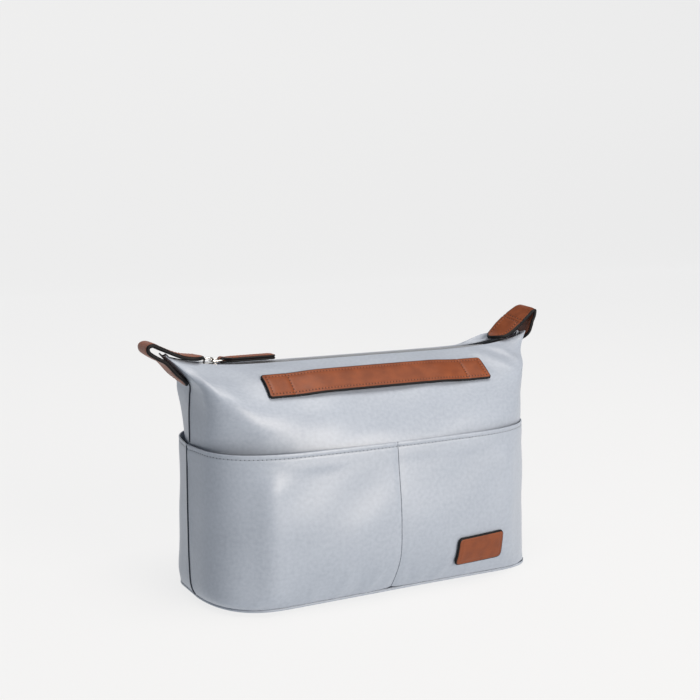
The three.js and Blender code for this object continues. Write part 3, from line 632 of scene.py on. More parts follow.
# The divider's thread in its deep furrow, darker and duller as painted shade, so it reads as one thin grey
# line.
divider_painted_shade_thread = mottled(
    "polyester_thread_painted_shade", "#454c56", "#5a616b", {"Scale": 1 / (0.5 * mm)}, Roughness=0.7)[0]


def points_at(at, walked, line):
    """The points that lie so far along a line"""
    return np.stack([np.interp(at, walked, line[:, k]) for k in range(3)], 1)


def resampled(points, values, pitch):
    """Points and their directions along a line, an equal step apart"""
    walked = walked_along(points)
    at = np.linspace(0, walked[-1], max(2, int(round(walked[-1] / pitch)) + 1))
    return points_at(at, walked, points), unit(points_at(at, walked, values))


def lofted(rings):
    """A closed body through rings that have the same number of points"""
    points = np.vstack(rings)
    index = np.arange(len(points)).reshape(len(rings), -1)
    faces = quads(np.hstack([index, index[:, :1]])).tolist()
    return points, faces + [index[0, ::-1].tolist(), index[-1].tolist()]


def together(parts):
    """Several closed bodies as one mesh"""
    points, faces = [], []
    for part_points, part_faces in parts:
        first = sum(len(p) for p in points)
        points.append(part_points)
        faces += [[first + n for n in face] for face in part_faces]
    return np.vstack(points), faces


def stitches(name, runs, materials, pitch=stitch_pitch, radius=thread_radius, hole=1.75, sides=6):
    """Thread between needle holes along each run of points, with a dark dot of painted shade at each hole"""
    # Each ring of a stitch: how far along it lies, and its width and lift in thread radii.
    stations = [(0.1, 0.5, -0.35), (0.24, 1, 0.25), (0.5, 1.05, 0.55), (0.76, 1, 0.25), (0.9, 0.5, -0.35)]
    dots = [(hole, 0.05), (hole * 0.65, 0.5)]
    flatness = 0.8
    off_every_stitch = (0.31, 0.57, 0.76)
    angles = np.arange(sides) * math.tau / sides
    cosines, sines = np.cos(angles)[:, None], np.sin(angles)[:, None]
    bodies, kinds = [], []
    for run, out in runs:
        holes, up = resampled(run, out, pitch)
        for a, b, n in zip(holes[:-1], holes[1:], unit(up[:-1] + up[1:])):
            along = unit(b - a)
            across = np.cross(n, along)
            n = np.cross(along, across)
            bodies.append(lofted([
                a + (b - a) * share + n * radius * lift
                + radius * width * (cosines * across + sines * n * flatness)
                for share, width, lift in stations]))
            kinds += [0] * len(bodies[-1][1])
        for a, n in zip(holes, up):
            across = unit(np.cross(n, off_every_stitch))
            on = np.cross(n, across)
            bodies.append(lofted([
                a + n * radius * lift + radius * width * (cosines * across + sines * on)
                for width, lift in dots]))
            kinds += [1] * len(bodies[-1][1])
    return mesh_object(name, *together(bodies), materials, kinds)


# How many columns and rows a turned-in side adds, which the stitches keep clear of.
curl_columns = 8
curl_rows = 8
seam_clear = curl_columns + 3
hem_row = curl_rows + int(np.argmin(np.abs(pocket_rows - hem_stitch_height)))
for side_name, (face, out) in pocket_faces.items():
    stitch_lines = {
        "hem": ((hem_row, slice(seam_clear, -seam_clear)), thread_material),
        "divider": ((slice(curl_rows + 1, None), face.shape[1] // 2), divider_painted_shade_thread)}
    for line_name, (part, thread) in stitch_lines.items():
        made = stitches(
            f"{side_name}_{line_name}_stitching", [(face[part], out[part])], [thread, painted_hole_shade])
        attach(made, "root")

# Seam shade: a thin cord set in each side seam and round the bottom, coloured near-black navy as painted
# shade for the seam's dark groove. It lies between the two cloths where they are sewn and turned, with a
# faint random mottle.
seam_shade_radius = 0.85
seam_shade_sink = 0.2
base_shade_cord_radius = 0.45
base_shade_cord_height = 2.75
seam_shade_material = mottled(
    "navy_cord_painted_seam_shade", "#121a26", "#253040", {"Scale": 1 / (0.8 * mm)}, Roughness=0.7)[0]


def tube(path, radius, up, sides=10, closed_path=False, flat=1.0):
    """A round bar along a path; up is a direction square to the whole path"""
    path = np.asarray(path, float)
    if closed_path:
        ahead = unit(np.roll(path, -1, 0) - np.roll(path, 1, 0))
    else:
        ahead = unit(np.gradient(path, axis=0))
    across = np.cross(ahead, up)
    angles = np.arange(sides) * math.tau / sides
    points = (path[:, None] + radius * np.cos(angles)[None, :, None] * across[:, None]
              + radius * flat * np.sin(angles)[None, :, None] * np.asarray(up, float))
    index = np.arange(len(path) * sides).reshape(len(path), sides)
    if closed_path:
        index = np.vstack([index, index[:1]])
    faces = quads(np.hstack([index, index[:, :1]]))[:, ::-1].tolist()
    if not closed_path:
        faces += [index[0].tolist(), index[-1, ::-1].tolist()]
    return points.reshape(-1, 3), faces


for name, end in {"left": -1, "right": 1}.items():
    cords = []
    lower_seam_line = pocket_guides[name][0](level_at(pocket_guides, np.linspace(2.6, 102, 60)))
    upper_seam_line = body_guides[name][0](np.linspace(5.02, 9.3, 50))
    for line in (lower_seam_line * (1, 0, 1), upper_seam_line * (1, 0, 1)):
        out = unit(np.stack([np.gradient(line[:, 2]), np.zeros(len(line)), -np.gradient(line[:, 0])], 1))
        cords.append(tube((line - out * seam_shade_sink) * (end, 1, 1), seam_shade_radius, (0, 1, 0), 8))
    side_shade_cord = mesh_object(f"{name}_seam_piping", *together(cords), [seam_shade_material])
    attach(side_shade_cord, "root")
base_cord = base_outline * (1, 1, 0) - base_out * base_shade_cord_radius + (0, 0, base_shade_cord_height)
base_cord = tube(base_cord, base_shade_cord_radius, (0, 0, 1), 8, closed_path=True)
base_shade_cord_object = mesh_object("base_seam_piping", *base_cord, [seam_shade_material])
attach(base_shade_cord_object, "root")

# Zip tapes: a woven tape down each edge of the mouth, sewn under the folded cloth, its tails under the tabs.
# Polyester herringbone tape with a raised cord at its inner edge that carries the coil. It is matt and
# greyer than the twill, and its rib, drawn about twice as coarse to show, catches no highlight.
tape_dark = "#9498a0"
tape_light = "#aaaeb5"
polyester_tape = woven(
    "polyester_zip_tape", tape_dark, tape_light, 0.9 * mm, 1.2 * mm, 12 * mm, 0.06 * mm,
    Roughness=0.75, IOR=1.5, Specular_IOR_Level=0.3)
tape_top = 151.0
tape_thickness = 0.75
tape_under_cloth = 1.45
tape_tail = 129
tape_flat_span = 117
tape_tail_rise = 7.2
tape_x = {"left": np.linspace(-tape_tail, 0, 90), "right": np.linspace(0, tape_tail, 90)}


def across_at_x(guides, level, x):
    """Where the skin passes each x, at one level"""
    places = np.linspace(0, 3, 601)
    spans = (np.abs(skin(guides, level, end * places)[:, 0]) for end in (-1, 1))
    left, right = (np.interp(np.abs(x), span, places) for span in spans)
    return np.where(x < 0, -left, right)


def on_skin(guides, levels, x):
    """A grid of skin points at the given levels and x"""
    return np.stack([skin(guides, level, across_at_x(guides, level, x)) for level in levels])


for half_name, x in tape_x.items():
    sewn = on_skin(body_guides, [9.1, 9.3, 9.55], x)
    sewn = sewn - outward(sewn) * tape_under_cloth
    tail_rise = tape_tail_rise * smooth(np.abs(x), tape_flat_span, tip_half_span)
    flat = np.stack([
        np.stack([x, np.full_like(x, -y), tape_top + drop + tail_rise], 1)
        for y, drop in ((5.2, -0.1), (4, 0), (3.1, 0), (2.2, 0))])
    grid = np.concatenate([sewn, flat])
    for side_name, side in sheet_sides.items():
        made = shell(
            f"{side_name}_zip_tape_{half_name}", side_of(grid, side), 0, -tape_thickness, [polyester_tape],
            "bt")[0]
        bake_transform(made)
        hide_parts(f"{side_name}_tape", f"{side_name}_tape_{half_name}")

# Zip coils: a row of teeth on each tape, each tooth a loop of stiff monofilament with a swollen head.
# Grey nylon, hot-wound round a cord and stitched to the tape; the two rows sit half a pitch apart.
# Smooth monofilament gives each tooth a small grey gleam, with faint clouds of dye along the row.
coil_pitch = 1.8
coil_middle = 152.1
coil_start = -113
coil_end = 105
coil_shift = {"front": 0, "back": 0.5}
coil_cord_radius = 0.35
nylon_coil = mottled(
    "nylon_coil", "#92979e", "#a0a5ac", {"Scale": 1 / (3 * mm)}, Roughness=0.38, IOR=1.53)[0]
# Each ring of a tooth, from its root to its head: how far from the zip's middle, half its width and height.
tooth_rings = [(2.95, 0.3, 0.45), (2.7, 0.5, 0.7), (2.2, 0.5, 0.78), (1.3, 0.52, 0.8), (0.95, 0.68, 0.8),
               (0.7, 0.66, 0.7), (0.55, 0.4, 0.42)]
tooth_angles = np.arange(8) * math.tau / 8
tooth_numbers = np.arange(round(coil_start / coil_pitch) + 1, round(coil_end / coil_pitch))
for side_name, side in sheet_sides.items():
    centres = (tooth_numbers + coil_shift[side_name]) * coil_pitch
    for half_name, (x0, x1) in {"left": (coil_start, 0), "right": (0, coil_end)}.items():
        teeth = []
        for centre in centres[(centres >= x0) & (centres < x1)]:
            points, faces = lofted([np.stack([
                centre + width * np.cos(tooth_angles), np.full(8, -y * side),
                coil_middle + height * np.sin(tooth_angles)], 1) for y, width, height in tooth_rings])
            teeth.append((points, faces if side < 0 else [face[::-1] for face in faces]))
        made = mesh_object(f"{side_name}_coil_{half_name}", *together(teeth), [nylon_coil])
        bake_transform(made)
        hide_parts(f"{side_name}_teeth", f"{side_name}_teeth_{half_name}")
        x = np.linspace(x0, x1, int((x1 - x0) / 4))
        cord_grid = np.stack([
            np.stack([x, np.full_like(x, -y), np.full_like(x, coil_middle - coil_cord_radius)], 1)
            for y in (3.4, 3.0, 2.6)])
        cord = shell(
            f"{side_name}_coil_cord_{half_name}", side_of(cord_grid, side), coil_cord_radius,
            -coil_cord_radius, [nylon_coil], "bt")[0]
        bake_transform(cord)

# Stops, slider and ring: the zip's metal parts, die-cast and bright nickel-plated.
# The stops are clamped over both tapes; the slider runs on the coil, its two plates joined by a thin web.
# Plating rubbed a little dull in spots, so that its sharp highlights break up as on a zip in use.
nickel_spots = {"Scale": 1 / (1.6 * mm), "Detail": 4.0}
nickel_plate, nickel_tree, nickel_shader, nickel_wear = mottled(
    "bright_nickel_plate", "#b9b8b6", "#cfcdc9", nickel_spots, Metallic=1.0)
nickel_rough = add(nickel_tree, "ShaderNodeMapRange", {"Value": nickel_wear, "To Min": 0.14, "To Max": 0.32})
nickel_tree.links.new(nickel_rough.outputs[0], nickel_shader.inputs["Roughness"])
stop_places = {"top_stop": -115.7, "bottom_stop": 105.3}
stop_length = 2.4
stop_half_width = 3.4
stop_height = 1.6
stop_bottom = 151.3


def slab(outline, bottom, top, bevel):
    """A flat plate with round edges, from its outline seen from above"""
    outline = np.asarray(outline, float)
    ahead = unit(np.roll(outline, -1, 0) - outline)
    behind = np.roll(ahead, 1, 0)
    out = unit(np.stack([ahead[:, 1] + behind[:, 1], -ahead[:, 0] - behind[:, 0]], 1))
    turn = [(1, 0), (0.3, 0.3), (0, 1)]
    rings = [(bottom + bevel * z, bevel * inset) for inset, z in turn]
    rings += [(top - bevel * z, bevel * inset) for inset, z in turn[::-1]]
    return lofted([
        np.column_stack([outline - out * inset, np.full(len(outline), z)]) for z, inset in rings])


def rounded(x0, x1, y0, y1, radius, steps=5):
    """A rectangle with round corners, seen from above"""
    corners = [(x1 - radius, y1 - radius, 0), (x0 + radius, y1 - radius, 1), (x0 + radius, y0 + radius, 2),
               (x1 - radius, y0 + radius, 3)]
    return [(x + radius * math.cos((quarter + k / steps) * math.pi / 2),
             y + radius * math.sin((quarter + k / steps) * math.pi / 2))
            for x, y, quarter in corners for k in range(steps + 1)]


for name, x0 in stop_places.items():
    plan = rounded(x0, x0 + stop_length, -stop_half_width, stop_half_width, 0.7)
    clamp = slab(plan, stop_bottom, stop_bottom + stop_height, 0.5)
    made = mesh_object(f"{name}_clamp", *clamp, [nickel_plate])
    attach(made, "root")
    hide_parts(name)

slider_x = -107
slider_plate = 1.2
slider_bevel = 0.45
slider_floor = 149.9
slider_ceiling = 153.2
slider_top = slider_ceiling + slider_plate
bridge_half_width = 1.3
bridge_half_thickness = 0.546
# Half a shield, wide at the two mouths where the teeth come in apart and narrow where they leave joined.
shield_half = [
    (5.6, 0), (5.6, 2.4), (5.2, 3.1), (3.2, 3.5), (0.6, 3.9), (-2.4, 4.4), (-4.2, 4.2), (-5.2, 3.3),
    (-5.6, 2.2), (-5.2, 1.0), (-4.6, 0)]
shield_side = guide([(x, y, 0) for x, y in shield_half])(np.linspace(0, len(shield_half) - 1, 41))[:, :2]
shield = np.vstack([shield_side, shield_side[-2:0:-1] * (1, -1)]) + (slider_x, 0)
slider_web = rounded(slider_x - 5.2, slider_x - 1.4, -0.3, 0.3, 0.25, 2)
bridge_arch = guide([(slider_x + x, 0, slider_top + z) for x, z in (
    (-3.1, -0.4), (-3.1, 1.6), (-2.5, 2.9), (-1.2, 3.35), (1.2, 3.35), (2.5, 2.9), (3.1, 1.6), (3.1, -0.4))])
slider_parts = [
    slab(shield, slider_ceiling, slider_top, slider_bevel),
    slab(shield, slider_floor - slider_plate, slider_floor, slider_bevel),
    slab(slider_web, slider_floor - 0.2, slider_ceiling + 0.2, 0.1),
    tube(bridge_arch(np.linspace(0, 7, 29)), bridge_half_thickness, (0, 1, 0), 12,
         flat=bridge_half_width / bridge_half_thickness)]
flange_radius = 0.32
flange_flat = 1.6
flange_x = np.linspace(slider_x - 3.6, slider_x + 4, 8)
flange_reach = np.interp(flange_x - slider_x, [-3.6, -2.4, 4], [3.9, 4.0, 3.35])
for side in sheet_sides.values():
    flange = np.column_stack([flange_x, flange_reach * side, np.full(8, slider_ceiling - 0.35)])
    slider_parts.append(tube(flange, flange_radius, (0, 0, 1), 8, flat=flange_flat))
zip_slider = mesh_object("slider_casting", *together(slider_parts), [nickel_plate], sharp=40)
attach(zip_slider, "zip_slider")
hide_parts("slider_body")

ring_axis_x = slider_x + 1.4
ring_axis_z = slider_top + 1.45
ring_length = 7.4
ring_centre_half_width = 3.1
ring_wire = 0.58
ring_path = [(x, y, ring_axis_z) for x, y in rounded(
    ring_axis_x, ring_axis_x + ring_length, -ring_centre_half_width, ring_centre_half_width, 1.1)]
pull_ring = mesh_object(
    "nickel_ring", *tube(ring_path, ring_wire, (0, 0, 1), 12, closed_path=True), [nickel_plate])
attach(pull_ring, "pull_ring")
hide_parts("pull_ring")

# Leather pull: a strip folded round the ring's far bar, glued back on itself and stitched.
# Tan split leather with a pressed grain, its cut edges sealed with black edge paint.
leather_dark = "#66331b"
leather_light = "#7f4222"
leather_grain = 0.9 * mm
leather_dye_patch = 9 * mm
leather_roughness = 0.44
pull_axis_x = ring_axis_x + ring_length
pull_length = 36
pull_right = pull_axis_x + pull_length
pull_layer = 1.45
pull_glue = 0.05
pull_loop = 1.42
pull_half_width = 4.2
pull_neck_half = 2.25
leather_pitch = 2.3

# Split leather: a fine pebbled grain that softens its highlight, uneven dye, and patches dulled by handling.
tan_leather, tan_tree, tan_shader = new_material("tan_split_leather", IOR=1.48, Specular_IOR_Level=0.32)
tan_place = add(tan_tree, "ShaderNodeTexCoord", {}).outputs["Object"]
tan_cells = add(tan_tree, "ShaderNodeTexVoronoi", {
    "feature": "SMOOTH_F1", "Vector": tan_place, "Scale": 1 / leather_grain}).outputs["Distance"]
tan_fine, tan_dye = (
    add(tan_tree, "ShaderNodeTexNoise", {
        "Vector": tan_place, "Scale": scale, "Detail": detail}).outputs["Fac"]
    for scale, detail in ((2.5 / leather_grain, 3.0), (1 / leather_dye_patch, 2.0)))
tan_tone, tan_pebbles = (
    add(tan_tree, "ShaderNodeMath", {"operation": "MULTIPLY_ADD", 0: tan_fine, 1: share, 2: base}).outputs[0]
    for share, base in ((0.35, tan_dye), (0.4, tan_cells)))
tan_spread = add(tan_tree, "ShaderNodeMapRange", {"Value": tan_tone, "From Min": 0.4, "From Max": 0.95})
tan_dull = add(tan_tree, "ShaderNodeMapRange", {
    "Value": tan_dye, "To Min": leather_roughness - 0.08, "To Max": leather_roughness + 0.12})
tan_bump = add(tan_tree, "ShaderNodeBump", {"Height": tan_pebbles, "Distance": 0.12 * mm, "Strength": 0.5})
tan_tones = two_tones(tan_tree, tan_spread.outputs[0], leather_dark, leather_light)
tan_tree.links.new(tan_tones, tan_shader.inputs["Base Color"])
tan_tree.links.new(tan_dull.outputs[0], tan_shader.inputs["Roughness"])
tan_tree.links.new(tan_bump.outputs[0], tan_shader.inputs["Normal"])
# Brushed-on paint: black and slightly lumpy, with one soft highlight along the rounded edge.
edge_paint, edge_tree, edge_shader, edge_lumps = mottled(
    "black_edge_paint", "#08080a", "#100f12", {"Scale": 1 / (1.2 * mm)},
    Roughness=0.6, IOR=1.45, Specular_IOR_Level=0.25)
edge_bump = add(edge_tree, "ShaderNodeBump", {"Height": edge_lumps, "Distance": 0.1 * mm, "Strength": 0.4})
edge_tree.links.new(edge_bump.outputs[0], edge_shader.inputs["Normal"])
# Waxed thread: a shade lighter than the leather, with a slanting twist and a little shine.
leather_thread = mottled(
    "waxed_brown_thread", "#7a3c1f", "#94502c", thread_twist, "ShaderNodeTexWave", Roughness=0.5)[0]
# The awl's hole at each stitch's end: a dark dot of painted shade, which sets the stitches apart.
leather_hole_shade = mottled("painted_shade_in_leather_holes", "#1c0d08", "#30160e", {"Scale": 1 / (0.4 * mm)}, Roughness=0.8)[0]
leather_finish = [tan_leather, edge_paint]


def strip_path(points, count):
    """Evenly spaced points of a smooth line through points in (x, z), how far along each lies, and its place
    among the given points"""
    places = np.linspace(0, len(points) - 1, 800)
    line = guide([(x, 0, z) for x, z in points])(places)
    walked = walked_along(line)
    at = np.linspace(0, walked[-1], count)
    return points_at(at, walked, line), at, np.interp(at, walked, places)


gap_half = pull_glue + pull_layer / 2
pull_leg = [(pull_right, gap_half), (pull_right - 12, gap_half), (pull_axis_x + 6, gap_half),
            (pull_axis_x + 2.6, gap_half + 0.15)]
pull_line = [(x, ring_axis_z - up) for x, up in pull_leg]
pull_line += [(pull_axis_x + pull_loop * math.cos(a), ring_axis_z + pull_loop * math.sin(a))
              for a in np.radians([-60, -100, -140, -180, -220, -260, -300])]
pull_line += [(x, ring_axis_z + up) for x, up in pull_leg[::-1]]
pull_centre = strip_path(pull_line, 110)[0]
pull_wide = smooth(pull_centre[:, 0], pull_axis_x + 2.2, pull_axis_x + 6)
pull_width = pull_neck_half + (pull_half_width - pull_neck_half) * pull_wide
pull_corner = np.clip(1 - (pull_right - pull_centre[:, 0]) / 1.8, 0, 1)
pull_width = pull_width - 1.6 * (1 - np.sqrt(1 - pull_corner ** 2))
pull_shares = np.sin(np.linspace(-1, 1, 13) * math.pi / 2)
pull_across = np.array([0, -1, 0]) * pull_width[:, None, None] * pull_shares[None, :, None]
pull_grid = pull_centre[:, None] + pull_across
leather_pull, pull_face, pull_out = shell(
    "zip_pull_strap", pull_grid, pull_layer / 2, -pull_layer / 2, leather_finish, edge_material=1)
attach(leather_pull, "leather_pull")
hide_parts("leather_pull")
pull_top = [i for i in range(len(pull_centre)) if pull_centre[i, 2] > ring_axis_z
            and pull_axis_x + 6.5 < pull_centre[i, 0] < pull_right - 1.8]
pull_runs = [(pull_face[pull_top, column], pull_out[pull_top, column]) for column in (3, 9)]
pull_stitching = stitches(
    "zip_pull_stitching", pull_runs, [leather_thread, leather_hole_shade], leather_pitch, radius=0.22, hole=2.4)
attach(pull_stitching, "leather_pull")

# Grab strap: a flat leather handle across the front, sewn down at both ends and free between them.
# Tan leather in two layers, stitched 2 mm in and once across where each sewn end stops, edges painted black.
strap_centre_x = 2.5
strap_half_length = 82.5
strap_width = 18.2
strap_middle_level = 7.75
strap_lift = 1.2
strap_sewn = 17
strap_thickness = 2.0
strap_seat = 0.45
strap_inset = 2.0
strap_swell = 0.25
strap_furrow = 0.22
strap_rows = (3, 11)
walk_levels = np.linspace(5.5, zip_level, 1801)
walked = walked_along(skin(body_guides, walk_levels, 0))
strap_middle = np.interp(strap_middle_level, walk_levels, walked)
strap_shares = np.array([-1, -0.97, -0.9, -0.8, -0.72, -0.5, -0.25, 0, 0.25, 0.5, 0.72, 0.8, 0.9, 0.97, 1])
strap_levels = np.interp(strap_middle + strap_shares * strap_width / 2, walked, walk_levels)
strap_ends = {"left": strap_centre_x - strap_half_length, "right": strap_centre_x + strap_half_length}
for half_name, end in strap_ends.items():
    from_end = np.concatenate([
        [0, 0.3, 0.9, 1.5, strap_inset, 2.6, 4], np.arange(6, strap_sewn - 1.9, 2),
        strap_sewn + np.array([-0.9, -0.4, 0, 0.4, 0.9, 2]), np.linspace(strap_sewn + 4, abs(end), 30)])
    x = np.sort(end - np.sign(end) * from_end)
    grid = on_skin(body_guides, strap_levels, x)
    share = np.clip((np.abs(end - x) - strap_sewn) / (strap_half_length - strap_sewn), 0, 1)
    lift = strap_seat + strap_lift * smooth(share, 0, 0.35)
    grid = grid + outward(grid) * lift[None, :, None]
    corner = np.clip(1 - np.abs(end - x) / 1.2, 0, 1)
    width_trim = 1 - 0.1 * (1 - np.sqrt(1 - corner ** 2))
    centre = grid[7:8]
    grid = centre + (grid - centre) * width_trim[None, :, None]
    edge_distance = (1 - np.abs(strap_shares))[:, None] * strap_width / 2
    end_distance = np.abs(end - x)[None, :]
    nearest = np.minimum(edge_distance, end_distance)
    face = strap_thickness + strap_swell * smooth(nearest, 0, 4)
    face = face - strap_furrow * np.exp(-((nearest - strap_inset) / 0.5) ** 2)
    face = face - strap_furrow * np.exp(-((end_distance - strap_sewn) / 0.6) ** 2)
    strap, strap_face, strap_out = shell(
        f"grab_strap_{half_name}", grid, face, 0, leather_finish, {"left": "lbt", "right": "rbt"}[half_name],
        edge_material=1)
    columns = [int(np.argmin(np.abs(np.abs(end - x) - d))) for d in (strap_inset, strap_sewn)]
    inner = slice(columns[0], None) if half_name == "left" else slice(None, columns[0] + 1)
    parts = [(row, inner) for row in strap_rows]
    parts += [(slice(strap_rows[0], strap_rows[1] + 1), column) for column in columns]
    runs = [(strap_face[part], strap_out[part]) for part in parts]
    stitching = stitches(
        f"grab_strap_stitching_{half_name}", runs, [leather_thread, leather_hole_shade], leather_pitch,
        radius=0.27, hole=2.5)
    for piece in (strap, stitching):
        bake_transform(piece)
    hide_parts("grab_strap")

# Patch: a small bare leather rectangle on the front pocket, low at the right.
# Tan leather with a blind-pressed frame line, round corners and a black painted edge, glued on.
patch_centre_x = 63
patch_centre_z = 24
patch_half_length = 18.5
patch_half_height = 9
patch_corner = 2.5
patch_thickness = 2.3
patch_seat = 0.35
patch_frame = 1.7
patch_frame_depth = 0.3
patch_edge_round = 0.25
patch_rows = np.concatenate([
    [-1, -0.985, -0.95, -0.9], np.linspace(-0.84, 0.84, 29), [0.9, 0.95, 0.985, 1]])
patch_columns = np.linspace(-1, 1, 61)
patch_grid = []
for row in patch_rows:
    past = max(0, abs(row) * patch_half_height - (patch_half_height - patch_corner))
    trim = patch_corner - math.sqrt(patch_corner ** 2 - past ** 2)
    level = float(level_at(pocket_guides, patch_centre_z + row * patch_half_height))
    x = patch_centre_x + patch_columns * (patch_half_length - trim)
    patch_grid.append(skin(pocket_guides, level, across_at_x(pocket_guides, level, x)))
patch_grid = np.array(patch_grid)
patch_grid = patch_grid + outward(patch_grid) * patch_seat
patch_from_edge = np.minimum((1 - np.abs(patch_rows))[:, None] * patch_half_height,
                             (1 - np.abs(patch_columns))[None] * patch_half_length)
patch_face = patch_thickness - patch_frame_depth * np.exp(-((patch_from_edge - patch_frame) / 0.35) ** 2)
patch_face = patch_face - patch_edge_round * (1 - smooth(patch_from_edge, 0, 0.8))
patch = shell("pocket_patch", patch_grid, patch_face, 0, leather_finish, edge_material=1)[0]
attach(patch, "root")
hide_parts("label_patch")

# End tabs: a leather strap folded over each wing tip, which leaves an eye to clip or pull by.
# Tan leather with black painted edges, its two tongues stitched through the wing.
tab_half_width = 9
tab_thickness = 2.0
tab_under_gap = 1.7
tab_taper = 9
tab_point = 0.86
tab_waist = 0.06
# The levels of the side seam that each lower tongue runs along, from the wing's tip inward.
tab_under_levels = {"left": [9.9, 9, 8.6, 8.15], "right": [9.9, 9.75, 9.6]}
tab_edge_swell = 0.5
tab_side_furrow = 0.2
tab_cross_furrow = 0.35
tab_cross_lines = [22.5, 25.2]
tab_upper_stitches = (3.5, 21.5)
tab_lower_stitches = (3.5, 15)
# Each tab's side, and its line from the upper tongue round the eye: out past the wing's tip, up, and turned.
end_tabs = {
    "left": (-1, [
        (-26, -3.5, 0), (-12, -1.7, 0), (-2, 2.3, 0), (4.3, 5.3, 0), (8.6, 7.2, 0), (11.4, 6.2, 0),
        (11.2, 3.6, 0), (8.4, 1.2, 0), (5, -0.9, 0)]),
    "right": (1, [
        (-26, -3.9, 0), (-19.5, -2, 4), (-12.5, 3.0, 13), (-6.5, 7.6, 15), (0.3, 12.4, 12), (4.9, 15.3, 7),
        (7.3, 15.6, 4), (6.6, 11.6, 1), (4.3, 7, 0), (3, 2.6, 0)])}
tab_rows = 150
tab_shares = np.array([-1, -0.97, -0.9, -0.82, -0.74, -0.5, -0.25, 0, 0.25, 0.5, 0.74, 0.82, 0.9, 0.97, 1])
for name, (side, rows) in end_tabs.items():
    seam_points = body_guides[name][0](tab_under_levels[name])
    seam_along = tangent(body_guides[name][0], tab_under_levels[name])
    under_points = np.stack([
        seam_points[:, 0] + seam_along[:, 2] * tab_under_gap,
        seam_points[:, 2] - seam_along[:, 0] * tab_under_gap], 1)
    tab_line = [(tip_half_span + out, tip_height + up) for out, up, _ in rows] + under_points.tolist()
    tab_turns = guide([(math.radians(turn), 0, 0) for _, _, turn in rows] + [(0, 0, 0)] * len(under_points))
    centre, at, place = strip_path(tab_line, tab_rows)
    turn = tab_turns(place)[:, :1]
    along = unit(np.gradient(centre, axis=0))
    lift = np.stack([-along[:, 2], along[:, 1], along[:, 0]], 1)
    sideways = -np.cos(turn) * np.array([[0, 1, 0]]) - np.sin(turn) * lift
    ends = np.minimum(at, at[-1] - at)
    taper = np.clip(1 - ends / tab_taper, 0, 1)
    half_width = tab_half_width * (1 - tab_point * taper ** 2.4) * (1 - tab_waist * smooth(ends, 10, 30))
    grid = centre[:, None] + sideways[:, None] * half_width[:, None, None] * tab_shares[None, :, None]
    if side < 0:
        grid = grid[:, ::-1] * (-1, 1, 1)
    from_side = (1 - np.abs(tab_shares))[None] * half_width[:, None]
    nearest = np.minimum(from_side, ends[:, None])
    groove = tab_side_furrow * np.exp(-((from_side - 2.3) / 0.6) ** 2) * (1 - smooth(ends, 30, 34))[:, None]
    cross = sum(tab_cross_furrow * np.exp(-((at[:, None] - line) / 0.7) ** 2) for line in tab_cross_lines)
    face = tab_thickness / 2 + tab_edge_swell + 0.2 * smooth(nearest, 0, 2.5) - groove - cross
    tab, tab_face, tab_out = shell(
        f"{name}_tab_strap", grid, face, -tab_thickness / 2, leather_finish, edge_material=1)
    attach(tab, "root")
    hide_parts(f"{name}_end_tab")
    upper = [i for i in range(tab_rows) if tab_upper_stitches[0] < at[i] < tab_upper_stitches[1]]
    lower = [i for i in range(tab_rows) if tab_lower_stitches[0] < at[-1] - at[i] < tab_lower_stitches[1]]
    parts = [(rows, column) for rows in (upper, lower) for column in (4, 10)]
    parts += [(int(np.argmin(np.abs(at - line))), slice(4, 11)) for line in tab_cross_lines]
    tab_stitching = stitches(
        f"{name}_tab_stitching", [(tab_face[part], tab_out[part]) for part in parts],
        [leather_thread, leather_hole_shade], leather_pitch, radius=0.25, hole=2.4)
    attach(tab_stitching, "root")

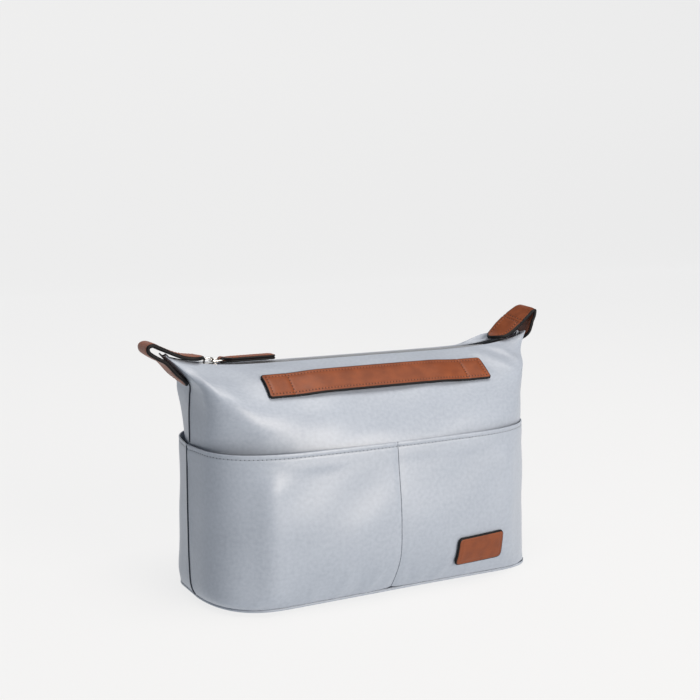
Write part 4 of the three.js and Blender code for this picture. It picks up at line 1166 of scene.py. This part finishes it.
# Studio: a seamless pale sweep, a large softbox high at the front right, a low fill and a softbox overhead.
# The camera stands to the left of the front, a little above the pouch, as the photograph was taken.
# Matt painted board, lit from within a little, so the floor stays near white with only a soft contact shade.
sweep_near = -4000
sweep_back = 2200
sweep_curve = 700
sweep_top = 2000
sweep_x = [-6000, 6000]
sweep_paint, _, sweep_shader, _ = mottled(
    "matt_white_sweep", "#545454", "#565656", {"Scale": 2.0}, Roughness=0.9, Specular_IOR_Level=0.1)
sweep_shader.inputs["Emission Color"].default_value = linear("#ffffff")
sweep_shader.inputs["Emission Strength"].default_value = 0.79
sweep_profile = [(sweep_near, 0), (sweep_back, 0)]
sweep_profile += [
    (sweep_back + sweep_curve * math.sin(a), sweep_curve - sweep_curve * math.cos(a))
    for a in np.radians(np.arange(8, 89, 8))]
sweep_profile += [(sweep_back + sweep_curve, sweep_curve), (sweep_back + sweep_curve, sweep_top)]
sweep_points = np.array([(x, y, z) for y, z in sweep_profile for x in sweep_x], float)
sweep_index = np.arange(len(sweep_points)).reshape(-1, 2)
sweep = mesh_object("floor_sweep", sweep_points, quads(sweep_index), [sweep_paint])

room = bpy.data.worlds.new("dim_room")
bpy.context.scene.world = room
room.use_nodes = True
room.node_tree.nodes["Background"].inputs["Color"].default_value = linear("#cfe2ff")
room.node_tree.nodes["Background"].inputs["Strength"].default_value = 0.1


def softbox(name, place, target, width, height, power, colour):
    """A rectangular lamp that faces its target"""
    light = bpy.data.lights.new(name, "AREA")
    light.shape = "RECTANGLE"
    light.size = width
    light.size_y = height
    light.energy = power
    light.color = linear(colour)[:3]
    lamp = bpy.data.objects.new(name, light)
    bpy.context.scene.collection.objects.link(lamp)
    ray = np.array(target) - np.array(place)
    flat = math.hypot(ray[0], ray[1])
    lamp.rotation_euler = (math.atan2(flat, -ray[2]), 0, math.atan2(ray[1], ray[0]) - math.pi / 2)
    lamp.location = place


softbox("key_softbox", (0.54, -1.85, 0.66), (0, 0, 0.07), 1.0, 0.9, 33, "#fff4e8")
softbox("low_fill", (0.15, -1.7, 0.2), (0, 0, 0.05), 0.8, 0.35, 4.5, "#fff8f0")
softbox("top_softbox", (0.1, -0.4, 2.1), (0, 0, 0.1), 1.3, 1.3, 43, "#fff8f0")

camera_data = bpy.data.cameras.new("camera")
camera_data.lens = 57.24
camera_data.sensor_width = 36
camera_data.clip_start = 0.01
camera = bpy.data.objects.new("camera", camera_data)
bpy.context.scene.collection.objects.link(camera)
camera.location = (-0.35727, -0.66344, 0.26187)
camera.rotation_euler = (math.radians(90 - 8.02), 0, math.radians(-28))
bpy.context.scene.camera = camera
bpy.context.scene.view_settings.view_transform = "Standard"
bpy.context.scene.view_settings.look = "None"
